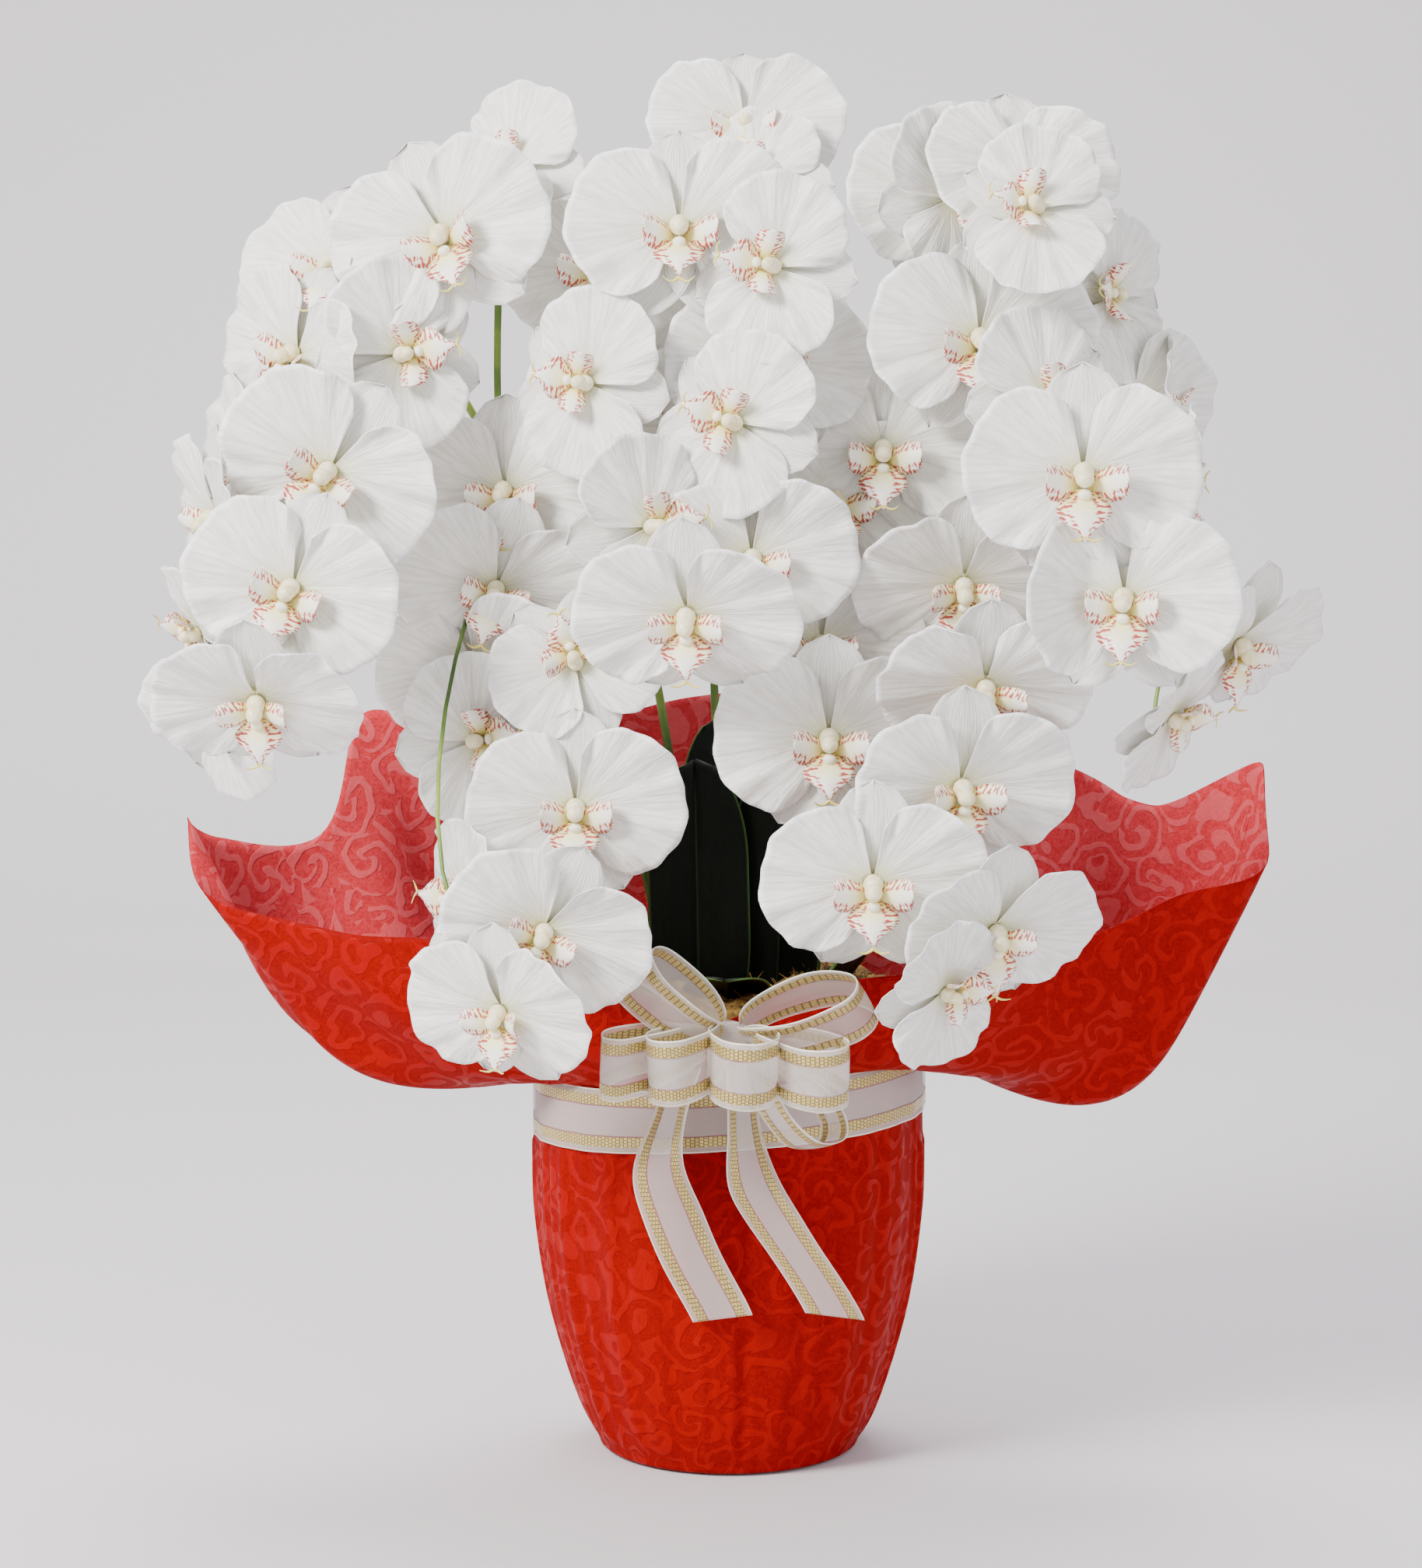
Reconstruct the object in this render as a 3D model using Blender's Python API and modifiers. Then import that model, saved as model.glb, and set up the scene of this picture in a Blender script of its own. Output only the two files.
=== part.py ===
"""Potted moth orchid: five flowering sprays, leaves, pot and moss in a ribboned wrap.

Metres, +Z up. The origin is the centre of the flat underside of the wrap.
The plant is seen from -Y, and +X is to the viewer's right.
Lengths below are written in millimetres and multiplied by MM where they are used.
"""

import itertools
import math

import bmesh
import bpy
from mathutils import Matrix, Vector
from mathutils.bvhtree import BVHTree

MM = 0.001
GAP = 0.4  # space left between neighbouring pieces

# pot, filling and moss: (radius, height), each from the top down its outer side
POT_OUTSIDE = [(93, 162), (93, 142), (87, 76), (73, 29), (63, 9), (53, 1.4)]
POT_WALL = 2.0
MEDIUM_TOP = 150.0
MOSS_PROFILE = [(62, 230), (72, 218), (82, 196), (90, 170), (90, 162.6), (90, 150.6),
                (36, 150.6), (57, 226)]

# gift wrap: outer radius and height from the middle of the underside up to the ribbon
WRAP_BODY = [(57, 0), (67, 7), (76.5, 28), (89, 73), (96, 117), (97.3, 148)]
WRAP_THICKNESS = 1.0
WRAP_COLUMNS = 48
WRAP_SKIRT_ROWS = 4
WRAP_NECK_RADIUS = 97.0
# the spread skirt: direction in degrees in which it leaves the neck, rim point, sag
WRAP_RIM = [
    (0, (262, -2, 346), 75), (14, (228, 28, 322), 50), (26, (202, 42, 322), 34),
    (38, (172, 66, 336), 16), (56, (110, 98, 356), 5), (78, (40, 110, 368), 4),
    (98, (-20, 108, 366), 4), (120, (-90, 98, 350), 5), (140, (-150, 84, 352), 10),
    (153, (-186, 70, 362), 16), (165, (-206, 42, 304), 26), (177, (-256, 12, 306), 44),
    (186, (-270, -14, 318), 50), (196, (-250, -36, 283), 40), (208, (-188, -60, 272), 24),
    (224, (-140, -84, 266), 12), (240, (-92, -104, 260), 6), (257, (-40, -114, 250), 3),
    (270, (0, -113, 236), 3), (284, (40, -116, 254), 3), (302, (98, -108, 262), 8),
    (322, (160, -74, 264), 24), (340, (218, -46, 282), 46), (350, (258, -22, 300), 66),
]

# ribbon
RIBBON_WIDTH = 31.0
RIBBON_THICKNESS = 0.8
BAND_RADIUS = 97.7
BAND_HEIGHT = 183.0
BAND_TILT = 7.0  # rise of the band at its high side
BAND_HIGH_SIDE = -20.0  # degrees
BOW_CENTRE = (0, -134, 236)
# bow loops: centre of the loop's root, direction (yaw, pitch), length, height, width
BOW_LOOPS = [
    ("left_outer", (-37, -133, 234), (-108, -32), 44, 27, 20),
    ("left_inner", (-20, -135, 234), (-96, -34), 46, 27, 26),
    ("right_inner", (7, -135, 234), (-88, -34), 46, 27, 29),
    ("right_outer", (34, -133, 232), (-78, -38), 46, 27, 29),
    ("left_upper", (-14, -134, 242), (-160, 34), 42, 26, 26),
    ("right_upper", (14, -134, 242), (-26, 14), 58, 26, 26),
]
TAIL_LEFT = [(-22, -114, 216), (-30, -117, 192), (-33, -117, 168), (-26, -111, 142),
             (-18, -105, 116), (-4, -99, 89)]
TAIL_RIGHT = [(6, -110, 216), (5, -113, 188), (11, -113, 162), (23, -109, 138),
              (36, -105, 114), (50, -99, 90)]

# leaves: direction in degrees, root (x, y), length, width, elevation at root and tip
LEAF_THICKNESS = 2.2
LEAF_ROOT_HEIGHT = 151.5
LEAF_BEND = 1.7
LEAVES = [
    ("leaf_back", 100, (-3, 20), 214, 44, 88, 80),
    ("leaf_middle_left", 100, (-15, 5), 194, 52, 88, 80),
    ("leaf_middle_right", 62, (24, 9), 200, 56, 88, 78),
    ("leaf_left", 188, (-30, -8), 164, 50, 80, 20),
    ("leaf_right", 346, (30, -15), 196, 48, 79, 6),
    ("leaf_front", 268, (0, -28), 124, 44, 88, 8),
]

# flower stems: name and the points the stem passes through
STEM_RADIUS = 2.4
STEM_TIP_RADIUS = 1.5
STEM_POINTS = 27
STEMS = {
    "left_outer": [(-25, 14, 151.5), (-34, 27, 250), (-70, 48, 380), (-120, 58, 500),
                   (-172, 40, 578), (-206, 4, 592), (-226, -16, 545), (-238, -24, 470),
                   (-238, -34, 395)],
    "left_inner": [(-14, 26, 151.5), (-17, 39, 256), (-42, 66, 410), (-70, 72, 540),
                   (-92, 52, 622), (-104, 12, 640), (-112, -10, 590), (-112, -22, 490),
                   (-102, -36, 380), (-97, -74, 322),
                   (-98, -102, 290)],
    "middle": [(0, 29, 151.5), (-2, 42, 256), (-8, 66, 400), (-4, 72, 530),
               (4, 48, 620), (10, 8, 642), (12, -16, 590), (6, -32, 520), (2, -44, 455)],
    "right_inner": [(14, 26, 151.5), (18, 39, 256), (48, 68, 410), (78, 72, 530),
                    (98, 48, 606), (108, 8, 618), (114, -14, 565), (114, -26, 480),
                    (108, -44, 390), (98, -72, 312)],
    "right_outer": [(25, 14, 151.5), (34, 27, 250), (76, 50, 380), (124, 60, 500),
                    (164, 42, 584), (190, 6, 606), (206, -14, 560), (218, -22, 480),
                    (214, -36, 400)],
}
PEDICEL_RADIUS = 1.2
PEDICEL_SPANS = 6

# flowers: outline radii of the right half, every 22.5 degrees from straight up to straight down
FLOWER_HALF_OUTLINE = [50, 43, 44, 54, 56, 50, 37, 46, 26]
FLOWER_WIDTH = 110.0
FLOWER_THICKNESS = 1.2
# stem, centre, facing (yaw to the viewer's right, pitch up), clockwise roll, width
FLOWERS = [
    ("left_outer", (-165, -60, 545), (-5, 0), 0, 110),
    ("left_outer", (-188, -65, 492), (-10, -5), 35, 108),
    ("left_outer", (-232, -45, 505), (-65, 5), 0, 100),
    ("left_outer", (-243, -55, 470), (-70, -10), 10, 100),
    ("left_outer", (-203, -85, 438), (-10, 0), 20, 105),
    ("left_outer", (-250, -80, 412), (-50, -30), 10, 95),
    ("left_outer", (-218, -100, 388), (-10, -35), 0, 100),
    ("left_outer", (-248, -90, 368), (-45, -35), -30, 95),
    ("left_inner", (-98, -40, 636), (-10, 25), 0, 105),
    ("left_inner", (-136, -55, 605), (-15, 5), -25, 110),
    ("left_inner", (-131, -75, 362), (-15, 0), 0, 105),
    ("left_inner", (-72, -85, 395), (5, 0), 60, 105),
    ("left_inner", (-73, -100, 337), (0, 0), 0, 105),
    ("left_inner", (-124, -110, 288), (-40, -5), 0, 100),
    ("left_inner", (-86, -125, 284), (0, -15), 25, 100),
    ("left_inner", (-105, -135, 248), (-30, -18), 0, 95),
    ("middle", (-24, -60, 608), (0, 15), 0, 110),
    ("middle", (21, -35, 632), (5, 35), 0, 100),
    ("middle", (29, -70, 586), (10, 5), 0, 108),
    ("middle", (-60, -75, 532), (-5, 0), 0, 108),
    ("middle", (10, -95, 513), (0, 0), 10, 110),
    ("middle", (-45, -105, 466), (8, 0), 0, 110),
    ("middle", (-20, -130, 432), (-8, -25), 0, 108),
    ("right_inner", (100, -50, 620), (15, 5), 0, 108),
    ("right_inner", (118, -70, 557), (5, 5), 0, 110),
    ("right_inner", (111, -75, 442), (5, -30), 0, 105),
    ("right_inner", (119, -95, 395), (5, -35), 0, 105),
    ("right_inner", (47, -90, 369), (0, 0), 0, 110),
    ("right_inner", (107, -105, 348), (15, -15), 0, 108),
    ("right_inner", (66, -120, 305), (0, -10), 0, 108),
    ("right_inner", (122, -120, 283), (25, -25), 0, 100),
    ("right_inner", (93, -135, 251), (20, -30), 0, 95),
    ("right_outer", (153, -45, 612), (20, 25), 0, 105),
    ("right_outer", (191, -40, 573), (60, 5), 0, 100),
    ("right_outer", (141, -75, 524), (5, 15), 0, 108),
    ("right_outer", (161, -95, 491), (0, 0), 0, 113),
    ("right_outer", (214, -45, 514), (65, 0), 0, 100),
    ("right_outer", (213, -55, 476), (70, -5), 0, 100),
    ("right_outer", (181, -80, 432), (-10, 0), 0, 108),
    ("right_outer", (243, -65, 412), (45, -30), 0, 100),
    ("right_outer", (205, -85, 372), (40, -40), 0, 100),
]
SLIDE_STEP = 2.0
SLIDE_RISE = 0.13


# ---------------------------------------------------------------- small tools

def clear_scene():
    for item in list(bpy.data.objects):
        bpy.data.objects.remove(item, do_unlink=True)


def make_material(name, colour, roughness, metallic=0.0):
    material = bpy.data.materials.new(name)
    material.use_nodes = True
    shader = material.node_tree.nodes["Principled BSDF"]
    shader.inputs["Base Color"].default_value = (*colour, 1.0)
    shader.inputs["Roughness"].default_value = roughness
    shader.inputs["Metallic"].default_value = metallic
    return material


def add_object(name, mesh, material, collection):
    item = bpy.data.objects.new(name, mesh)
    if not mesh.materials:
        mesh.materials.append(material)
    collection.objects.link(item)
    return item


def evaluated_mesh(item):
    graph = bpy.context.evaluated_depsgraph_get()
    graph.update()
    return bpy.data.meshes.new_from_object(item.evaluated_get(graph))


def vector(point):
    return Vector(point) * MM


def curve_through(points, share, closed=False):
    """The point at share (0 to 1) of a smooth curve through the given points."""
    count = len(points)
    spans = count if closed else count - 1
    place = min(max(share, 0.0), 1.0) * spans
    index = min(int(place), spans - 1)
    part = place - index

    def pick(offset):
        if closed:
            return points[(index + offset) % count]
        return points[min(max(index + offset, 0), count - 1)]

    before, start, end, after = (pick(offset) for offset in (-1, 0, 1, 2))
    return 0.5 * (
        2 * start
        + (end - before) * part
        + (2 * before - 5 * start + 4 * end - after) * part ** 2
        + (3 * start - before - 3 * end + after) * part ** 3
    )


def turned(name, profile, material, collection, segments=28):
    """A solid turned round Z from a profile that runs from the top down its outer side."""
    mesh = bpy.data.meshes.new(name)
    shape = bmesh.new()
    corners = [shape.verts.new((radius * MM, 0, height * MM)) for radius, height in profile]
    for index, corner in enumerate(corners):
        following = corners[(index + 1) % len(corners)]
        if corner.co.x > 0 or following.co.x > 0:
            shape.edges.new((corner, following))
    shape.to_mesh(mesh)
    shape.free()
    item = add_object(name, mesh, material, collection)
    screw = item.modifiers.new("turn", "SCREW")
    screw.steps = segments
    screw.render_steps = segments
    screw.use_merge_vertices = True
    screw.merge_threshold = 0.0001
    mesh.shade_smooth()
    return item


def sheet(name, columns, rows, place, material, collection, thickness, closed=False):
    """A sheet whose point at (across, along), each 0 to 1, is place(across, along)."""
    shape = bmesh.new()
    bmesh.ops.create_grid(shape, x_segments=columns, y_segments=rows, size=0.5)
    for corner in shape.verts:
        corner.co = place(corner.co.x + 0.5, corner.co.y + 0.5)
    if closed:
        bmesh.ops.remove_doubles(shape, verts=shape.verts, dist=0.00001)
        bmesh.ops.dissolve_degenerate(shape, edges=shape.edges, dist=0.00001)
    mesh = bpy.data.meshes.new(name)
    shape.to_mesh(mesh)
    shape.free()
    item = add_object(name, mesh, material, collection)
    solidify = item.modifiers.new("thickness", "SOLIDIFY")
    solidify.thickness = thickness * MM
    solidify.offset = -1.0
    mesh.shade_smooth()
    return item


def tube_mesh(name, points, radii, sides):
    """A closed round tube through points, as a mesh: sides is 0, 1 or 2 for 4, 6 or 8 sides."""
    data = bpy.data.curves.new(name, "CURVE")
    data.dimensions = "3D"
    data.bevel_depth = MM
    data.bevel_resolution = sides
    data.use_fill_caps = True
    spline = data.splines.new("POLY")
    spline.points.add(len(points) - 1)
    for target, point, radius in zip(spline.points, points, radii):
        target.co = (*point, 1.0)
        target.radius = radius
    item = bpy.data.objects.new(name, data)
    bpy.context.scene.collection.objects.link(item)
    mesh = evaluated_mesh(item)
    bpy.data.objects.remove(item, do_unlink=True)
    shape = bmesh.new()
    shape.from_mesh(mesh)
    bmesh.ops.remove_doubles(shape, verts=shape.verts, dist=0.00001)
    shape.to_mesh(mesh)
    shape.free()
    return mesh


def joined(name, meshes, material, collection, cutters, solver="EXACT"):
    """One object from several closed meshes that run into each other."""
    item = add_object(name, meshes[0], material, collection)
    for index, mesh in enumerate(meshes[1:]):
        part = add_object(f"{name}_joined_{index}", mesh, material, cutters)
        part.hide_render = True
        part.display_type = "WIRE"
        union = item.modifiers.new("join", "BOOLEAN")
        union.operation = "UNION"
        union.solver = solver
        union.object = part
    result = evaluated_mesh(item)
    item.modifiers.clear()
    item.data = result
    for part in list(cutters.objects):
        bpy.data.objects.remove(part, do_unlink=True)
    return item


def surface(mesh, matrix=None):
    """A search tree of a mesh's triangles in world space."""
    shape = bmesh.new()
    shape.from_mesh(mesh)
    bmesh.ops.triangulate(shape, faces=shape.faces)
    if matrix:
        shape.transform(matrix)
    tree = BVHTree.FromBMesh(shape)
    shape.free()
    return tree


# ---------------------------------------------------------------- pot and filling

def make_pot(material, collection):
    """A thin plastic pot: the outside, then back up the inside."""
    inside = [(radius - POT_WALL, height) for radius, height in POT_OUTSIDE[:-1]]
    inside.append((POT_OUTSIDE[-1][0] - POT_WALL, POT_OUTSIDE[-1][1] + POT_WALL))
    profile = POT_OUTSIDE + [(0, POT_OUTSIDE[-1][1]), (0, inside[-1][1])] + inside[::-1]
    return turned("nursery_pot", profile, material, collection)


def make_medium(material, collection):
    """The bark filling, a solid that follows the inside of the pot."""
    slack = POT_WALL + GAP
    side = [(radius - slack, height) for radius, height in POT_OUTSIDE[2:-1]]
    foot = (POT_OUTSIDE[-1][0] - slack, POT_OUTSIDE[-1][1] + slack)
    profile = [(0, MEDIUM_TOP), (POT_OUTSIDE[1][0] - slack, MEDIUM_TOP)]
    profile += [(POT_OUTSIDE[1][0] - slack, POT_OUTSIDE[1][1])] + side + [foot, (0, foot[1])]
    return turned("growing_medium", profile, material, collection)


def make_moss(material, collection):
    return turned("moss", MOSS_PROFILE, material, collection)


# ---------------------------------------------------------------- wrap and ribbon

def band_height(angle):
    return BAND_HEIGHT + BAND_TILT * math.cos(angle - math.radians(BAND_HIGH_SIDE))


def wrap_point(across, along):
    """Up the outside of the pot to the ribbon, then out over the spread skirt."""
    neck_angles = [math.radians(angle) for angle, _, _ in WRAP_RIM]
    spread = [Vector((math.cos(a), math.sin(a), 0)) for a in neck_angles]
    rims = [vector(rim) for _, rim, _ in WRAP_RIM]
    sags = [Vector((sag, 0, 0)) for _, _, sag in WRAP_RIM]
    direction = curve_through(spread, across, closed=True).normalized()
    angle = math.atan2(direction.y, direction.x)
    neck = direction * WRAP_NECK_RADIUS * MM
    neck.z = (band_height(angle) + RIBBON_WIDTH / 2 + 1) * MM
    levels = [(0.0, 0.0)] + WRAP_BODY
    body_rows = len(levels)
    rows = body_rows + WRAP_SKIRT_ROWS
    row = round(along * rows)
    if row < body_rows:
        radius, height = levels[row]
        point = direction * radius * MM
        point.z = height * MM
        return point
    share = (row - body_rows) / WRAP_SKIRT_ROWS
    rim = curve_through(rims, across, closed=True)
    sag = curve_through(sags, across, closed=True).x * MM
    bow = math.sin(math.pi * min(share, 1.0)) * sag
    return neck.lerp(rim, share) + Vector((0, 0, -bow)) + direction * bow * 0.3


def make_wrap(material, collection):
    rows = len(WRAP_BODY) + 1 + WRAP_SKIRT_ROWS
    return sheet("gift_wrap", WRAP_COLUMNS, rows, wrap_point, material, collection,
                 WRAP_THICKNESS, closed=True)


def make_band(material, collection):
    """The ribbon pulled round the neck of the wrap, a little higher on one side."""
    def place(across, along):
        angle = across * 2 * math.pi
        height = band_height(angle) + (along - 0.5) * RIBBON_WIDTH
        radius = BAND_RADIUS + RIBBON_THICKNESS
        return Vector((radius * math.cos(angle), radius * math.sin(angle), height)) * MM

    return sheet("ribbon_band", 48, 1, place, material, collection, RIBBON_THICKNESS,
                 closed=True)


def ribbon_mesh(name, path, side, width, material, collection):
    """A strip that follows path, a list of points, with its width along side."""
    def place(across, along):
        point = curve_through(path, along)
        return point + side * (across - 0.5) * width * MM

    item = sheet(name, 1, len(path) - 1, place, material, collection,
                 RIBBON_THICKNESS)
    mesh = evaluated_mesh(item)
    bpy.data.objects.remove(item, do_unlink=True)
    return mesh


def make_bow(material, collection, cutters):
    """Six loops that grow out of one pinched knot."""
    knot = bmesh.new()
    bmesh.ops.create_uvsphere(knot, u_segments=12, v_segments=8, radius=MM)
    spread = Matrix.Diagonal((46, 8, 10, 1))
    bmesh.ops.transform(knot, matrix=Matrix.Translation(vector(BOW_CENTRE)) @ spread,
                        verts=knot.verts)
    knot_mesh = bpy.data.meshes.new("bow")
    knot.to_mesh(knot_mesh)
    knot.free()
    meshes = [knot_mesh]
    for name, root, (yaw, pitch), length, height, width in BOW_LOOPS:
        yaw_angle = math.radians(yaw)
        pitch_angle = math.radians(pitch)
        out = Vector((math.cos(yaw_angle) * math.cos(pitch_angle),
                      math.sin(yaw_angle) * math.cos(pitch_angle),
                      math.sin(pitch_angle)))
        side = out.cross(Vector((0, 0, 1))).normalized()
        lift = side.cross(out)
        path = []
        for step in range(9):
            turn = math.pi * (0.04 + 0.115 * step) * 2
            reach = (1 - math.cos(turn)) / 2 * length
            path.append(vector(root) + (out * reach + lift * math.sin(turn) * height / 2) * MM)
        meshes.append(ribbon_mesh(name, path, side, width, material, collection))
    return joined("bow", meshes, material, collection, cutters)


def make_tail(name, points, material, collection):
    path = [vector(point) for point in points]
    side = Vector((1, -0.1, 0.12)).normalized()

    def place(across, along):
        return curve_through(path, along) + side * (across - 0.5) * RIBBON_WIDTH * MM

    return sheet(name, 1, 12, place, material, collection, RIBBON_THICKNESS)


# ---------------------------------------------------------------- leaves and stems

def make_leaf(name, direction, root, length, width, rise, tip_rise, material, collection):
    """A strap leaf folded along its midrib, narrow at the root and round at the tip."""
    turn = math.radians(direction)
    out = Vector((math.cos(turn), math.sin(turn), 0))
    side = Vector((-math.sin(turn), math.cos(turn), 0))
    steps = 48
    spine = [Vector((*root, LEAF_ROOT_HEIGHT)) * MM]
    for step in range(steps):
        share = (step + 0.5) / steps
        slope = math.radians(rise + (tip_rise - rise) * share ** LEAF_BEND)
        stride = out * math.cos(slope) + Vector((0, 0, math.sin(slope)))
        spine.append(spine[-1] + stride * length * MM / steps)

    def place(across, along):
        index = min(int(along * steps), steps)
        slope = math.radians(rise + (tip_rise - rise) * along ** LEAF_BEND)
        normal = Vector((0, 0, math.cos(slope))) - out * math.sin(slope)
        body = 0.24 + 0.76 * math.sin(math.pi / 2 * min(along / 0.55, 1.0)) ** 1.5
        tip = math.sqrt(max(1 - max((along - 0.74) / 0.275, 0.0) ** 2, 0.0))
        half = (across - 0.5) * width * body * tip * MM
        return spine[index] + side * half + normal * abs(half) * 0.28

    return sheet(name, 2, 12, place, material, collection, LEAF_THICKNESS)


def stem_path(points):
    path = [vector(point) for point in points]
    last = STEM_POINTS - 1
    return [curve_through(path, step / last) for step in range(STEM_POINTS)]


def stem_mesh(name):
    path = stem_path(STEMS[name])
    taper = (STEM_RADIUS - STEM_TIP_RADIUS) / (STEM_POINTS - 1)
    radii = [STEM_RADIUS - taper * step for step in range(STEM_POINTS)]
    return tube_mesh(f"stem_{name}", path, radii, 1)


# ---------------------------------------------------------------- flowers

def flower_mesh(material, collection, cutters):
    """One open flower facing +Z with its top sepal along +Y: a thin five-lobed disc and a lip."""
    shape = bmesh.new()
    segments = 2 * (len(FLOWER_HALF_OUTLINE) - 1)
    bmesh.ops.create_circle(shape, cap_ends=True, cap_tris=True, segments=segments, radius=MM)
    for corner in shape.verts:
        if corner.co.length < 0.1 * MM:
            corner.co.z = -3 * MM
            continue
        from_top = abs(math.atan2(corner.co.x, corner.co.y))
        index = round(from_top / math.pi * (segments // 2))
        direction = corner.co.normalized()
        corner.co = direction * FLOWER_HALF_OUTLINE[index] * MM
        corner.co.z = 4 * MM * math.cos(from_top * 2 + math.pi)
    petals = bpy.data.meshes.new("petals")
    shape.to_mesh(petals)
    shape.free()
    dish = add_object("petals", petals, material, collection)
    solidify = dish.modifiers.new("thickness", "SOLIDIFY")
    solidify.thickness = FLOWER_THICKNESS * MM
    solidify.offset = 0.0
    disc = evaluated_mesh(dish)
    bpy.data.objects.remove(dish, do_unlink=True)

    lip = bmesh.new()
    bmesh.ops.create_cone(lip, cap_ends=True, segments=4, radius1=7 * MM, radius2=5 * MM,
                          depth=26 * MM)
    tilt = Matrix.Translation(vector((0, -12, 11))) @ Matrix.Rotation(math.radians(40), 4, "X")
    bmesh.ops.transform(lip, matrix=tilt, verts=lip.verts)
    lip_mesh = bpy.data.meshes.new("lip")
    lip.to_mesh(lip_mesh)
    lip.free()
    whole = joined("flower", [disc, lip_mesh], material, collection, cutters)
    mesh = whole.data
    bpy.data.objects.remove(whole, do_unlink=True)
    return mesh


def flower_matrix(centre, facing, roll, width):
    """The flower's place: +Z of the flower towards the facing, +Y up, then rolled."""
    yaw, pitch = (math.radians(angle) for angle in facing)
    stand = Matrix.Rotation(math.radians(90), 4, "X")
    aim = Matrix.Rotation(yaw, 4, "Z") @ Matrix.Rotation(-pitch, 4, "X")
    spin = Matrix.Rotation(math.radians(-roll), 4, "Z")
    size = Matrix.Scale(width / FLOWER_WIDTH, 4)
    return Matrix.Translation(centre) @ aim @ stand @ spin @ size


def place_flowers(mesh, obstacles):
    """Slide each flower forwards, back ones first, until it clears all that is in place."""
    placed = {}
    order = sorted(range(len(FLOWERS)), key=lambda number: -FLOWERS[number][1][1])
    for number in order:
        _, centre, facing, roll, width = FLOWERS[number]
        place = vector(centre)
        while True:
            matrix = flower_matrix(place, facing, roll, width)
            tree = surface(mesh, matrix)
            near = surface(mesh, Matrix.Translation((0, 1.2 * MM, 0)) @ matrix)
            stalk_start = [matrix @ Vector((0, 0, -depth * MM)) for depth in (6, 10, 14)]
            clear_disc = not any(tree.overlap(other) or near.overlap(other)
                                 for other in obstacles)
            clear_back = not any(other.find_nearest(point, 2.6 * MM)[0]
                                 for other in obstacles for point in stalk_start)
            if clear_disc and clear_back:
                break
            place = place + Vector((0, -SLIDE_STEP, SLIDE_STEP * SLIDE_RISE)) * MM
        obstacles.append(tree)
        placed[number] = matrix
    return placed


def pedicel_routes(matrix, stem, sideways):
    """Curves from the back of a flower to points along its stem, the shortest first."""
    back = (matrix.to_3x3() @ Vector((0, 0, -1))).normalized()
    start = matrix @ Vector((0, 0, -5.6 * MM))
    routes = []
    for half in range(16, 2 * len(stem) - 3):
        ahead = stem[half // 2 + 1]
        root = stem[half // 2].lerp(ahead, (half % 2) / 2)
        along = (ahead - stem[half // 2]).normalized()
        for leave, lift, shift, rise in itertools.product((8, 16, 28, 44), (0, 24, 48),
                                                          sideways, (-30, -10, 12, 32)):
            first = start + (back * leave + Vector((shift, 0, lift))) * MM
            second = root + along * rise * MM
            route = []
            for step in range(PEDICEL_SPANS + 1):
                part = step / PEDICEL_SPANS
                left = 1 - part
                route.append(start * left ** 3 + first * 3 * left ** 2 * part
                             + second * 3 * left * part ** 2 + root * part ** 3)
            length = sum((b - a).length for a, b in zip(route, route[1:]))
            routes.append((length, route))
    return sorted(routes, key=lambda item: item[0])


def is_clear(route, obstacles, routed):
    """Whether a stalk along route passes every piece and every other stalk with some room."""
    room = (PEDICEL_RADIUS + GAP + 0.8) * MM
    for start, end in zip(route, route[1:]):
        step = end - start
        if any(tree.ray_cast(start, step, step.length)[0] for tree in obstacles):
            return False
    for start, end in zip(route, route[1:]):
        for part in range(1, 7):
            point = start.lerp(end, part / 6)
            if any(tree.find_nearest(point, room)[0] for tree in obstacles):
                return False
            if any((point - other).length < 2.5 * room for other in routed):
                return False
    return True


def make_sprays(matrices, obstacles, material, collection, cutters):
    """Each stem with the stalks of its own flowers, as one solid."""
    paths = {name: stem_path(points) for name, points in STEMS.items()}
    every_stem = {name: surface(stem_mesh(name)) for name in STEMS}
    routed = {name: [] for name in STEMS}
    stalks = {name: [] for name in STEMS}
    for number, matrix in sorted(matrices.items()):
        name = FLOWERS[number][0]
        others = [tree for other, tree in every_stem.items() if other != name]
        foreign = [point for other, points in routed.items() if other != name
                   for point in points]
        near = obstacles + others
        length, route = None, None
        for sideways in ((0,), (-20, 20), (-50, 50, -80, 80)):
            routes = pedicel_routes(matrix, paths[name], sideways)
            length, route = next((item for item in routes
                                  if is_clear(item[1], near, foreign)), (None, None))
            if route:
                break
        if route is None:
            print(f"no clear way for the stalk of flower {number + 1}")
            continue
        print(f"stalk {number + 1:02d} on {name}: {length * 1000:.0f} mm")
        for start, end in zip(route, route[1:]):
            routed[name].extend(start.lerp(end, part / 8) for part in range(8))
        stalks[name].append(route)
    for name in STEMS:
        meshes = [stem_mesh(name)]
        for route in stalks[name]:
            radii = [PEDICEL_RADIUS] * len(route)
            meshes.append(tube_mesh("stalk", route, radii, 0))
        joined(f"stem_{name}", meshes, material, collection, cutters, "MANIFOLD")


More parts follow.
